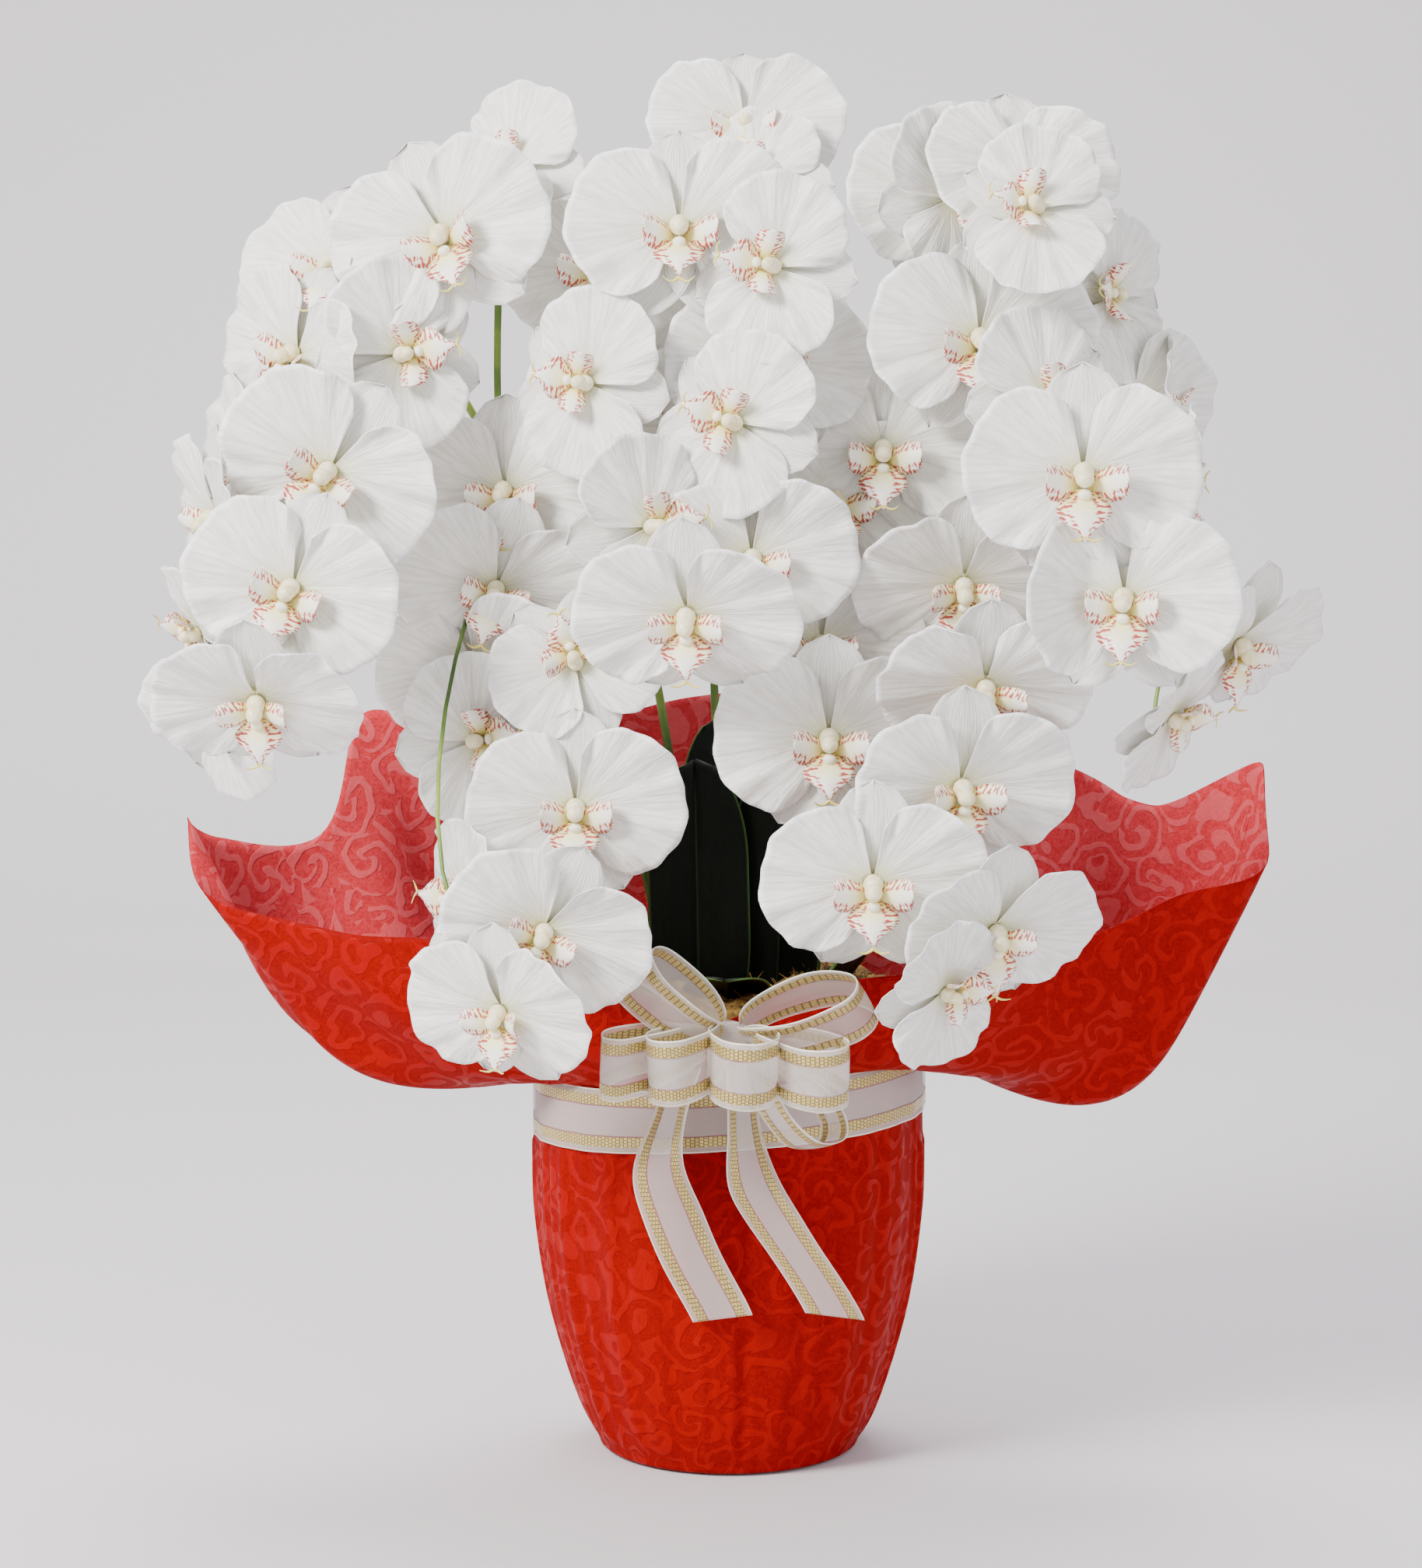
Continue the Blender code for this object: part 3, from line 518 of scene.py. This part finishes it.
# printed latex over cloth: nearly black green, a pale midrib and edge, fine lengthwise veins
leafUv = addNode(leafSkin, "ShaderNodeUVMap")
leafSplit = addNode(leafSkin, "ShaderNodeSeparateXYZ", links={"Vector": leafUv.outputs[0]})
leafMiddle = addNode(leafSkin, "ShaderNodeMath", {1: 0.5}, {0: leafSplit.outputs["X"]}, operation="SUBTRACT")
leafOff = addNode(leafSkin, "ShaderNodeMath", links={0: leafMiddle.outputs[0]}, operation="ABSOLUTE")
leafLines = addNode(leafSkin, "ShaderNodeValToRGB", links={"Fac": leafOff.outputs[0]})
setStops(leafLines, [(0.006, "#22381A"), (0.018, "#061009"), (0.475, "#07130A"), (0.492, "#4F6F38")])
grainMap = addNode(leafSkin, "ShaderNodeMapping", {"Scale": (60, 2.5, 1)}, {"Vector": leafUv.outputs[0]})
grain = addNode(leafSkin, "ShaderNodeTexNoise", {"Scale": 1.0, "Detail": 3.0},
                {"Vector": grainMap.outputs[0]})
grainRamp = addNode(leafSkin, "ShaderNodeValToRGB", links={"Fac": grain.outputs["Fac"]})
setStops(grainRamp, [(0.3, "#B9C6B4"), (0.7, "#FFFFFF")])
leafTint = addNode(leafSkin, "ShaderNodeMix", {"Factor": 0.8}, data_type="RGBA", blend_type="MULTIPLY")
leafSkin.node_tree.links.new(leafLines.outputs[0], leafTint.inputs["A"])
leafSkin.node_tree.links.new(grainRamp.outputs[0], leafTint.inputs["B"])
leafBump = addNode(leafSkin, "ShaderNodeBump", {"Strength": 0.35, "Distance": 0.0005},
                   {"Height": grain.outputs["Fac"]})
leafSkin.node_tree.links.new(leafTint.outputs["Result"], leafShader.inputs["Base Color"])
leafSkin.node_tree.links.new(leafBump.outputs[0], leafShader.inputs["Normal"])


def leafPlace(direction, rise, tipRise):
    # the strap is folded along its midrib and bends further towards its tip
    turn = math.radians(direction)
    out = Vector((math.cos(turn), math.sin(turn), 0))
    side = Vector((-math.sin(turn), math.cos(turn), 0))
    steps = 96
    spine = [Vector((0, 0, 0))]
    for k in range(steps):
        slope = math.radians(rise + (tipRise - rise) * ((k + 0.5) / steps) ** leafShape["bend"])
        heading = out * math.cos(slope) + Vector((0, 0, math.sin(slope)))
        spine.append(spine[-1] + heading * leafShape["length"] / steps)

    def place(u, v):
        t = (u - 0.5) * 2
        slope = math.radians(rise + (tipRise - rise) * v ** leafShape["bend"])
        normal = Vector((0, 0, math.cos(slope))) - out * math.sin(slope)
        body = 0.24 + 0.76 * math.sin(math.pi / 2 * min(v / 0.55, 1)) ** 1.5
        end = math.sqrt(max(1 - (max(v - 0.74, 0) / 0.26) ** 2, 0.0004))
        half = t * leafShape["width"] / 2 * body * end
        raised = leafShape["fold"] * abs(half) * (1 - 0.35 * abs(t)) - 0.9 * math.exp(-(t / 0.07) ** 2)
        raised += leafShape["wave"] * abs(t) * math.sin(9 * v + 3 * t)
        return (spine[round(v * steps)] + side * half + normal * raised) * mm
    return place


for name, bend in leaf.items():
    bm = bmesh.new()
    addSheet(bm, 24, 48, leafPlace(*bend))
    mesh = thickened(meshOf(bm, name), leafShape["thickness"] * mm, -1.0)
    fitToBox(mesh, *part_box(name))
    piece = makeObject(f"{name}_skin", mesh, [leafSkin])
    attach(piece, "root")
    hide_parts(name)
print("leaves done")


# ---- gift wrap

wrap = {
    "columns": 300, "rows": 84, "neckRows": 0.44, "neckRadius": 96.4, "thickness": 0.5,
    "flat": (0.56, 0.56),
    # outer radius and height from the middle of the underside up to the ribbon
    "body": [(0, 0), (57, 0), (67, 7), (76.5, 28), (89, 73), (95.5, 117), (96.6, 148), (96.4, 172)],
    # way it leaves the neck in degrees, rim point, sag
    "rim": [
        (0, (262, -2, 346), 75), (14, (228, 28, 322), 50), (26, (202, 42, 322), 34),
        (38, (172, 66, 336), 16), (56, (110, 98, 356), 5), (78, (40, 110, 368), 4),
        (98, (-20, 108, 366), 4), (120, (-90, 98, 350), 5), (140, (-150, 84, 352), 10),
        (153, (-186, 70, 362), 16), (165, (-206, 42, 304), 26), (177, (-256, 12, 306), 44),
        (186, (-270, -14, 318), 50), (196, (-250, -36, 283), 40), (208, (-188, -60, 272), 24),
        (224, (-140, -84, 266), 12), (240, (-92, -104, 260), 6), (257, (-40, -114, 250), 3),
        (270, (0, -113, 236), 3), (284, (40, -116, 254), 3), (302, (98, -108, 262), 8),
        (322, (160, -74, 264), 24), (340, (218, -46, 282), 46), (350, (258, -22, 300), 66),
    ],
    "bodyPleats": 1.9, "skirtFolds": 5.5,
}
band = {"height": 183, "tilt": 7, "highSide": -20, "width": 31, "radius": 98.0}


def bandHeight(angle):
    return band["height"] + band["tilt"] * math.cos(angle - math.radians(band["highSide"]))


def makeWrapRed(name, base, dark, paintedSheen, dull):
    # spunbond polypropylene, heat-embossed: curling scrolls about 24 mm apart on a fibrous ground; the
    # scrolls are also painted lighter, a painted sheen
    material, shader = newMaterial(name, base, 0.62, Specular_IOR_Level=0.05)
    coordinates = addNode(material, "ShaderNodeTexCoord")
    wander = addNode(material, "ShaderNodeTexNoise", {"Scale": 55.0, "Detail": 1.0},
                     {"Vector": coordinates.outputs["Object"]})
    bent = addNode(material, "ShaderNodeVectorMath", {1: (0.016, 0.016, 0.016)}, {0: wander.outputs["Color"]},
                   operation="MULTIPLY")
    moved = addNode(material, "ShaderNodeVectorMath",
                    links={0: coordinates.outputs["Object"], 1: bent.outputs[0]})
    scaled = addNode(material, "ShaderNodeMapping", {"Scale": (42, 42, 42)}, {"Vector": moved.outputs[0]})
    scroll = addNode(material, "ShaderNodeTexVoronoi", {"Scale": 1.0, "Randomness": 0.8},
                     {"Vector": scaled.outputs[0]})
    away = addNode(material, "ShaderNodeVectorMath",
                   links={0: scaled.outputs[0], 1: scroll.outputs["Position"]}, operation="SUBTRACT")
    parts = addNode(material, "ShaderNodeSeparateXYZ", links={"Vector": away.outputs[0]})
    across = addNode(material, "ShaderNodeMath", links={0: parts.outputs["X"], 1: parts.outputs["Y"]})
    turn = addNode(material, "ShaderNodeMath", links={0: parts.outputs["Z"], 1: across.outputs[0]},
                   operation="ARCTAN2")
    arms = addNode(material, "ShaderNodeMath", {1: 2.0}, {0: turn.outputs[0]}, operation="MULTIPLY")
    spiral = addNode(material, "ShaderNodeMath", {1: 17.0},
                     {0: scroll.outputs["Distance"], 2: arms.outputs[0]}, operation="MULTIPLY_ADD")
    waves = addNode(material, "ShaderNodeMath", links={0: spiral.outputs[0]}, operation="SINE")
    relief = addNode(material, "ShaderNodeValToRGB", links={"Fac": waves.outputs[0]})
    setStops(relief, [(0.15, 0.0), (0.55, 1.0)])
    fibre = addNode(material, "ShaderNodeTexNoise", {"Scale": 420.0, "Detail": 4.0, "Distortion": 1.4},
                    {"Vector": coordinates.outputs["Object"]})
    ground = addNode(material, "ShaderNodeValToRGB", links={"Fac": fibre.outputs["Fac"]})
    setStops(ground, [(0.38, dark), (0.62, base)])
    share = addNode(material, "ShaderNodeMath", {1: 0.45}, {0: relief.outputs[0]}, operation="MULTIPLY")
    # the embossed scrolls are mixed towards the lighter red: painted sheen over the real embossed pattern
    colour = addNode(material, "ShaderNodeMix", {7: toLinear(paintedSheen)},
                     {0: share.outputs[0], 6: ground.outputs[0]}, data_type="RGBA")
    polish = addNode(material, "ShaderNodeMapRange", {"To Min": dull, "To Max": dull - 0.2},
                     {"Value": relief.outputs[0]})
    heights = addNode(material, "ShaderNodeMath", {1: 0.35}, {0: fibre.outputs["Fac"], 2: relief.outputs[0]},
                      operation="MULTIPLY_ADD")
    bump = addNode(material, "ShaderNodeBump", {"Strength": 0.5, "Distance": 0.0007},
                   {"Height": heights.outputs[0]})
    material.node_tree.links.new(colour.outputs[2], shader.inputs["Base Color"])
    material.node_tree.links.new(polish.outputs[0], shader.inputs["Roughness"])
    material.node_tree.links.new(bump.outputs[0], shader.inputs["Normal"])
    return material


# the fourth colour of each red is the painted sheen on the embossed scrolls
wrapOutside = makeWrapRed("red spunbond wrap", "#900000", "#800000", "#A60101", 0.62)
wrapInside = makeWrapRed("red wrap lining side", "#C23A42", "#B02830", "#D0646A", 0.75)


def wrapColumn(u):
    # neck point, rim point, sag and direction at share u of the way round
    spread = [Vector((math.cos(math.radians(a)), math.sin(math.radians(a)), 0)) for a, _, _ in wrap["rim"]]
    direction = curveThrough(spread, u, closed=True).normalized()
    rim = curveThrough([Vector(r) for _, r, _ in wrap["rim"]], u, closed=True)
    sag = curveThrough([Vector((s, 0, 0)) for _, _, s in wrap["rim"]], u, closed=True).x
    neck = direction * wrap["neckRadius"]
    neck.z = bandHeight(math.atan2(direction.y, direction.x)) + band["width"] / 2
    return neck, rim, sag, direction


def pleatHeight(u, v):
    # fixed folds: fine gathers at the ribbon, a few deep soft folds in the skirt
    round1 = 2 * math.pi * u
    fine = math.sin(34 * round1 + 2.2 * math.sin(5 * round1)) + 0.5 * math.sin(57 * round1 + 1.3)
    deep = math.sin(11 * round1 + 1.7 * math.sin(3 * round1)) + 0.6 * math.sin(19 * round1 + 0.8)
    if v < wrap["neckRows"]:
        share = v / wrap["neckRows"]
        amount = wrap["bodyPleats"] * max(share - 0.2, 0) * (1.15 - share) * 3.0
        # the ribbon holds the pleats flat
        return min(amount * (0.55 * fine + 0.9 * deep), 0.7 if share > 0.8 else 9) - 0.2 * share
    share = (v - wrap["neckRows"]) / (1 - wrap["neckRows"])
    gathers = 1.1 * math.exp(-share * 7) * fine * min(share * 14, 1)
    wander = 0.8 * math.sin(7 * round1 + 9 * share) * share
    return gathers + wrap["skirtFolds"] * (deep * 0.5 + wander) * min(share * 1.6, 1) * (0.6 + 0.4 * share)


columns = {}


def wrapPlace(u, v):
    if u not in columns:
        columns[u] = wrapColumn(u % 1.0)
    neck, rim, sag, direction = columns[u]
    if v <= wrap["neckRows"]:
        levels = [Vector((r, z, 0)) for r, z in wrap["body"]] + [Vector((neck.to_2d().length, neck.z, 0))]
        at = curveThrough(levels, v / wrap["neckRows"])
        return (direction * at.x + Vector((0, 0, max(at.y, 0)))) * mm
    share = (v - wrap["neckRows"]) / (1 - wrap["neckRows"])
    hang = math.sin(math.pi * share) * sag
    return (neck.lerp(rim, share) + Vector((0, 0, -hang)) + direction * hang * 0.3) * mm


bm = bmesh.new()
corners, where = addSheet(bm, wrap["columns"], wrap["rows"], wrapPlace)
bm.normal_update()
probe = max(bm.faces, key=lambda f: f.calc_center_median().x if f.calc_center_median().z < 0.1 else -1)
if probe.normal.x < 0:
    bmesh.ops.reverse_faces(bm, faces=bm.faces)
    bm.normal_update()
moves = {}
for corner, (u, v) in where.items():
    flatten = min(v / 0.12, 1) ** 2
    moves[corner] = corner.normal * pleatHeight(u % 1.0, v) * flatten * mm
for corner, move in moves.items():
    corner.co += move
    corner.co.z = max(corner.co.z, 0.0)
bmesh.ops.remove_doubles(bm, verts=bm.verts, dist=0.00005)
bmesh.ops.dissolve_degenerate(bm, edges=bm.edges, dist=0.00002)
for face in bm.faces:
    face.smooth = True
wrapMesh = thickened(meshOf(bm, "wrap"), wrap["thickness"] * mm, -1.0, 1)
wrapPiece = makeObject("wrap_sheet", wrapMesh, [wrapOutside, wrapInside])
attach(wrapPiece, "root")
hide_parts("gift_wrap")
print("wrap done")


# ---- ribbon

ribbon = {"thickness": 0.35, "width": 31, "bandLength": 0.625, "tailLength": 0.145, "bowLength": 0.72}

ribbonCloth, ribbonShader = newMaterial("satin and organza ribbon", "#E9E0CF", 0.3,
                                        Sheen_Weight=0.3, Sheen_Roughness=0.3)
# satin middle, a lurex braid near each side, and sheer organza outside it with a stiff selvage
ribbonUv = addNode(ribbonCloth, "ShaderNodeUVMap")
ribbonSplit = addNode(ribbonCloth, "ShaderNodeSeparateXYZ", links={"Vector": ribbonUv.outputs[0]})
ribbonMiddle = addNode(ribbonCloth, "ShaderNodeMath", {1: 0.5}, {0: ribbonSplit.outputs["X"]},
                       operation="SUBTRACT")
ribbonOff = addNode(ribbonCloth, "ShaderNodeMath", links={0: ribbonMiddle.outputs[0]}, operation="ABSOLUTE")
zones = addNode(ribbonCloth, "ShaderNodeValToRGB", links={"Fac": ribbonOff.outputs[0]})
zones.color_ramp.interpolation = "CONSTANT"
setStops(zones, [(0.0, "#DDD5CE"), (0.225, "#CFA29C"), (0.25, "#D9C27C"), (0.405, "#E9DFD0"),
                 (0.475, "#F6F0E2")])
braidMask = addNode(ribbonCloth, "ShaderNodeValToRGB", links={"Fac": ribbonOff.outputs[0]})
braidMask.color_ramp.interpolation = "CONSTANT"
setStops(braidMask, [(0.0, 0.0), (0.25, 1.0), (0.405, 0.0)])
# braid stitches: three rows, 2.2 mm long
stitchMap = addNode(ribbonCloth, "ShaderNodeMapping", {"Scale": (19, 14, 1)}, {"Vector": ribbonUv.outputs[0]})
stitches = addNode(ribbonCloth, "ShaderNodeTexBrick",
                   {"Color1": (1, 1, 1, 1), "Color2": (0.75, 0.75, 0.75, 1), "Mortar": (0.16, 0.12, 0.05, 1),
                    "Scale": 1.0, "Mortar Size": 0.13, "Brick Width": 1.0, "Row Height": 1.0},
                   {"Vector": stitchMap.outputs[0]})
braidColour = addNode(ribbonCloth, "ShaderNodeMix", {"Factor": 0.85}, data_type="RGBA", blend_type="MULTIPLY")
ribbonCloth.node_tree.links.new(zones.outputs[0], braidColour.inputs[6])
ribbonCloth.node_tree.links.new(stitches.outputs["Color"], braidColour.inputs[7])
ribbonColour = addNode(ribbonCloth, "ShaderNodeMix", links={"Factor": braidMask.outputs[0]}, data_type="RGBA")
ribbonCloth.node_tree.links.new(zones.outputs[0], ribbonColour.inputs[6])
ribbonCloth.node_tree.links.new(braidColour.outputs[2], ribbonColour.inputs[7])
threadMap = addNode(ribbonCloth, "ShaderNodeMapping", {"Scale": (90, 25, 1)}, {"Vector": ribbonUv.outputs[0]})
threads = addNode(ribbonCloth, "ShaderNodeTexNoise", {"Scale": 1.0, "Detail": 2.0},
                  {"Vector": threadMap.outputs[0]})
metal = addNode(ribbonCloth, "ShaderNodeMath", {1: 0.35}, {0: braidMask.outputs[0]}, operation="MULTIPLY")
sheerMask = addNode(ribbonCloth, "ShaderNodeValToRGB", links={"Fac": ribbonOff.outputs[0]})
sheerMask.color_ramp.interpolation = "CONSTANT"
setStops(sheerMask, [(0.0, 0.36), (0.225, 0.25), (0.25, 1.0), (0.405, 0.32), (0.475, 0.8)])
ribbonBump = addNode(ribbonCloth, "ShaderNodeBump", {"Strength": 0.3, "Distance": 0.0004},
                     {"Height": threads.outputs["Fac"]})
ribbonCloth.node_tree.links.new(ribbonColour.outputs[2], ribbonShader.inputs["Base Color"])
ribbonCloth.node_tree.links.new(metal.outputs[0], ribbonShader.inputs["Metallic"])
ribbonCloth.node_tree.links.new(sheerMask.outputs[0], ribbonShader.inputs["Alpha"])
ribbonCloth.node_tree.links.new(ribbonBump.outputs[0], ribbonShader.inputs["Normal"])


def bandPlace(u, v):
    # u runs across the ribbon, v round the pot
    angle = v * 2 * math.pi
    radius = band["radius"] + 0.35 * math.sin(13 * angle) + 0.25 * math.sin(29 * angle + 1)
    height = bandHeight(angle) + (u - 0.5) * band["width"] * (1 - 0.03 * math.sin(3 * angle))
    return Vector((radius * math.cos(angle), radius * math.sin(angle), height)) * mm


def finishRibbon(bm, name, cadNodes):
    bmesh.ops.remove_doubles(bm, verts=bm.verts, dist=0.00002)
    bmesh.ops.recalc_face_normals(bm, faces=bm.faces)
    mesh = thickened(meshOf(bm, name), ribbon["thickness"] * mm)
    piece = makeObject(name, mesh, [ribbonCloth])
    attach(piece, "root")
    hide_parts(*cadNodes)
    return piece


bm = bmesh.new()
addSheet(bm, 10, 240, bandPlace, lengths=ribbon["bandLength"] / (band["width"] * mm))
finishRibbon(bm, "ribbon_round_pot",
             ["ribbon_band"])

tails = {
    "ribbon_tail_left": ([(-22, -114, 216), (-30, -117, 192), (-33, -117, 168), (-26, -111, 142),
                          (-18, -105, 116), (-4, -99, 89)], 1.0),
    "ribbon_tail_right": ([(6, -110, 216), (5, -113, 188), (11, -113, 162), (23, -109, 138),
                           (36, -105, 114), (50, -99, 90)], -1.0),
}
for name, (route, twist) in tails.items():
    path = [Vector(p) for p in route]

    def tailPlace(u, v, path=path, twist=twist):
        # turned partly edge-on under the bow, opening flat towards its cut end
        t = (u - 0.5) * 2
        turn = twist * (0.95 * (1 - v) ** 1.2 + 0.3 * math.sin(7 * v))
        side = Vector((math.cos(turn), -math.sin(turn) * 0.75, 0.16 * twist * v))
        sway = Vector((1.5 * math.sin(9 * v), -2.4 * (1 - t * t) * math.sin(math.pi * v) - 2 * v ** 6, 0))
        return (curveThrough(path, v) + side * t * ribbon["width"] / 2 * 0.94 + sway) * mm

    bm = bmesh.new()
    addSheet(bm, 12, 60, tailPlace, lengths=ribbon["tailLength"] / (ribbon["width"] * mm))
    finishRibbon(bm, f"{name}_sheet", [name])

bow = {
    "centre": (0, -131, 231), "knot": (11, 7, 9), "loopLength": 3.6,
    # for each loop: root, direction (yaw, pitch), turn of the ribbon round that direction,
    # length, height and width
    "loops": [
        ((-44, -134, 228), (-110, -8), 86, 34, 21, 31), ((-24, -135, 228), (-97, -8), 92, 38, 28, 32),
        ((6, -135, 227), (-88, -8), 88, 40, 32, 33), ((36, -134, 225), (-76, -10), 92, 37, 32, 31),
        ((-16, -134, 243), (-160, 38), 52, 40, 26, 28), ((14, -134, 241), (-20, 12), -48, 54, 28, 28),
        ((38, -134, 208), (-80, -72), 62, 27, 34, 22),
    ],
}


def loopPlace(root, aim, roll, length, height, width, number):
    yaw, pitch = (math.radians(a) for a in aim)
    out = Vector((math.cos(yaw) * math.cos(pitch), math.sin(yaw) * math.cos(pitch), math.sin(pitch)))
    side = out.cross(Vector((0, 0, 1))).normalized()
    side.rotate(Matrix.Rotation(math.radians(roll), 3, out))
    lift = side.cross(out)
    centre = Vector(bow["centre"])

    def place(u, v):
        t = (u - 0.5) * 2
        turn = 2 * math.pi * (0.02 + 0.96 * v)
        reach = (1 - math.cos(turn)) / 2
        pinch = 0.36 + 0.64 * math.sin(math.pi * min(max(v, 0.001), 0.999)) ** 0.45
        crease = 1.4 * (1 - pinch) * math.sin(9 * t + number) + 0.35 * math.sin(5 * turn + number + t)
        middle = Vector(root).lerp(centre, 0.6 * (1 - reach) ** 2)
        point = middle + out * reach * length + lift * (math.sin(turn) * height / 2 + crease)
        point += side * t * width / 2 * pinch + out * 0.8 * (1 - t * t) * reach
        return point * mm
    return place


bm = bmesh.new()
for number, row in enumerate(bow["loops"]):
    addSheet(bm, 12, 56, loopPlace(*row, number), lengths=bow["loopLength"])
knot = bmesh.ops.create_uvsphere(bm, u_segments=28, v_segments=16, radius=mm)["verts"]
uvs = bm.loops.layers.uv.verify()
for corner in knot:
    spin = math.atan2(corner.co.z, corner.co.y)
    crease = 1 + 0.07 * math.sin(7 * spin + corner.co.x / mm * 3)
    for loop in corner.link_loops:
        loop[uvs].uv = (0.5 + 0.22 * corner.co.x / mm, spin / 6.3)
    wide, deep, tall = bow["knot"]
    corner.co = Vector((corner.co.x * wide, corner.co.y * deep * crease, corner.co.z * tall * crease))
    corner.co += Vector(bow["centre"]) * mm
for face in bm.faces:
    face.smooth = True
finishRibbon(bm, "bow_loops", ["bow"])
print("ribbon done")


# ---- moss, bark and pot

moss = {"fibres": 1500, "top": 238, "radius": 84, "length": (9, 24)}

mossFibre, mossShader = newMaterial("dyed sphagnum fibre", "#7C5F28", 0.85)
# dry moss dyed straw and brown, each tuft a little different
mossCoordinates = addNode(mossFibre, "ShaderNodeTexCoord")
mossPatch = addNode(mossFibre, "ShaderNodeTexNoise", {"Scale": 210.0, "Detail": 3.0},
                    {"Vector": mossCoordinates.outputs["Object"]})
mossRamp = addNode(mossFibre, "ShaderNodeValToRGB", links={"Fac": mossPatch.outputs["Fac"]})
setStops(mossRamp, [(0.3, "#3A2A10"), (0.5, "#7E5F25"), (0.7, "#B4934A")])
mossFibre.node_tree.links.new(mossRamp.outputs[0], mossShader.inputs["Base Color"])

bm = bmesh.new()


def moundPlace(u, v):
    angle = u * 2 * math.pi
    reach = moss["radius"] * (0.42 + 0.58 * v)
    rough = 2.2 * math.sin(9 * angle + 14 * v) + 1.6 * math.sin(23 * angle + 5 * v)
    height = moss["top"] - 4 - 9 * (reach / moss["radius"]) ** 4 + rough
    return Vector((reach * math.cos(angle), reach * math.sin(angle), height)) * mm


addSheet(bm, 72, 16, moundPlace)
bmesh.ops.remove_doubles(bm, verts=bm.verts, dist=0.0001)
mound = thickened(meshOf(bm, "mound"), 6 * mm, -1.0)
bm = bmesh.new()
bm.from_mesh(mound)
rng = random.Random(5)
for k in range(moss["fibres"]):
    base = moundPlace(rng.random(), rng.random())
    length = rng.uniform(*moss["length"]) * mm
    lean = Matrix.Rotation(rng.uniform(0, 6.3), 4, "Z") @ Matrix.Rotation(rng.uniform(0.5, 1.9), 4, "Y")
    made = bmesh.ops.create_cone(bm, segments=3, radius1=0.7 * mm, radius2=0.15 * mm, depth=length,
                                 matrix=Matrix.Translation(base + Vector((0, 0, 0.002))) @ lean)
piece = makeObject("moss_fibres", meshOf(bm, "moss_fibres"), [mossFibre])
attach(piece, "root")
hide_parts("moss")

barkChips, barkShader = newMaterial("orchid bark", "#3B2616", 0.9)
# chips of pine bark, seen only between the leaves
barkCoordinates = addNode(barkChips, "ShaderNodeTexCoord")
chips = addNode(barkChips, "ShaderNodeTexVoronoi", {"Scale": 90.0},
                {"Vector": barkCoordinates.outputs["Object"]})
chipRamp = addNode(barkChips, "ShaderNodeValToRGB", links={"Fac": chips.outputs["Color"]})
setStops(chipRamp, [(0.2, "#22150C"), (0.8, "#5A3B20")])
chipBump = addNode(barkChips, "ShaderNodeBump", {"Strength": 0.8, "Distance": 0.003},
                   {"Height": chips.outputs["Distance"]})
barkChips.node_tree.links.new(chipRamp.outputs[0], barkShader.inputs["Base Color"])
barkChips.node_tree.links.new(chipBump.outputs[0], barkShader.inputs["Normal"])

potPlastic, potShader = newMaterial("black polypropylene pot", "#17181A", 0.45)
# thin blow-moulded pot with faint moulding haze
potCoordinates = addNode(potPlastic, "ShaderNodeTexCoord")
haze = addNode(potPlastic, "ShaderNodeTexNoise", {"Scale": 30.0},
               {"Vector": potCoordinates.outputs["Object"]})
hazeRange = addNode(potPlastic, "ShaderNodeMapRange", {"To Min": 0.36, "To Max": 0.55},
                    {"Value": haze.outputs["Fac"]})
potPlastic.node_tree.links.new(hazeRange.outputs[0], potShader.inputs["Roughness"])

for name, material in (("growing_medium", barkChips), ("nursery_pot", potPlastic)):
    nodes[name].data.materials.clear()
    nodes[name].data.materials.append(material)
print("moss, bark and pot done")


# ---- floor, light and camera

studio = {"floor": "#D6D2D5", "distance": 2.2, "elevation": 7.5, "lens": 101.8, "target": (-0.009, 0, 0.335)}
floorShape = {"width": 24, "front": -12, "run": 16, "flatTo": 1.6, "top": -0.0002}

floorPaint = newMaterial("matt paper floor", studio["floor"], 0.7)[0]
bm = bmesh.new()


def floorPlace(u, v):
    # flat, then swept up into a wall behind
    run = floorShape["front"] + floorShape["run"] * v
    rise = max(run - floorShape["flatTo"], 0)
    back = min(run, floorShape["flatTo"] + 1.2 * math.sin(min(rise, 1.2) * 1.3))
    return Vector(((u - 0.5) * floorShape["width"], back, floorShape["top"] + 1.6 * rise ** 1.6))


addSheet(bm, 4, 60, floorPlace)
bmesh.ops.recalc_face_normals(bm, faces=bm.faces)
floor = makeObject("floor", meshOf(bm, "floor"), [floorPaint])

world = bpy.data.worlds.new("soft studio")
world.use_nodes = True
world.node_tree.nodes["Background"].inputs["Color"].default_value = toLinear("#E8E6EA")
world.node_tree.nodes["Background"].inputs["Strength"].default_value = 1.1
bpy.context.scene.world = world


def addLight(name, place, size, power, colour):
    data = bpy.data.lights.new(name, "AREA")
    data.shape = "DISK"
    data.size = size
    data.energy = power
    data.color = toLinear(colour)[:3]
    item = bpy.data.objects.new(name, data)
    bpy.context.scene.collection.objects.link(item)
    item.location = place
    item.rotation_euler = (Vector((0, 0, 0.35)) - Vector(place)).to_track_quat("-Z", "Y").to_euler()


addLight("key softbox", (-1.6, -1.5, 1.8), 0.9, 135, "#FFFDFA")
addLight("fill softbox", (1.7, -1.7, 1.1), 1.5, 20, "#F6F8FF")
addLight("top softbox", (0.1, 0.9, 2.3), 1.2, 50, "#FFFFFF")

cameraData = bpy.data.cameras.new("camera")
cameraData.lens = studio["lens"]
camera = bpy.data.objects.new("camera", cameraData)
bpy.context.scene.collection.objects.link(camera)
tilt = math.radians(studio["elevation"])
target = Vector(studio["target"])
camera.location = target + Vector((0, -math.cos(tilt), math.sin(tilt))) * studio["distance"]
camera.rotation_euler = (target - camera.location).to_track_quat("-Z", "Y").to_euler()
bpy.context.scene.camera = camera
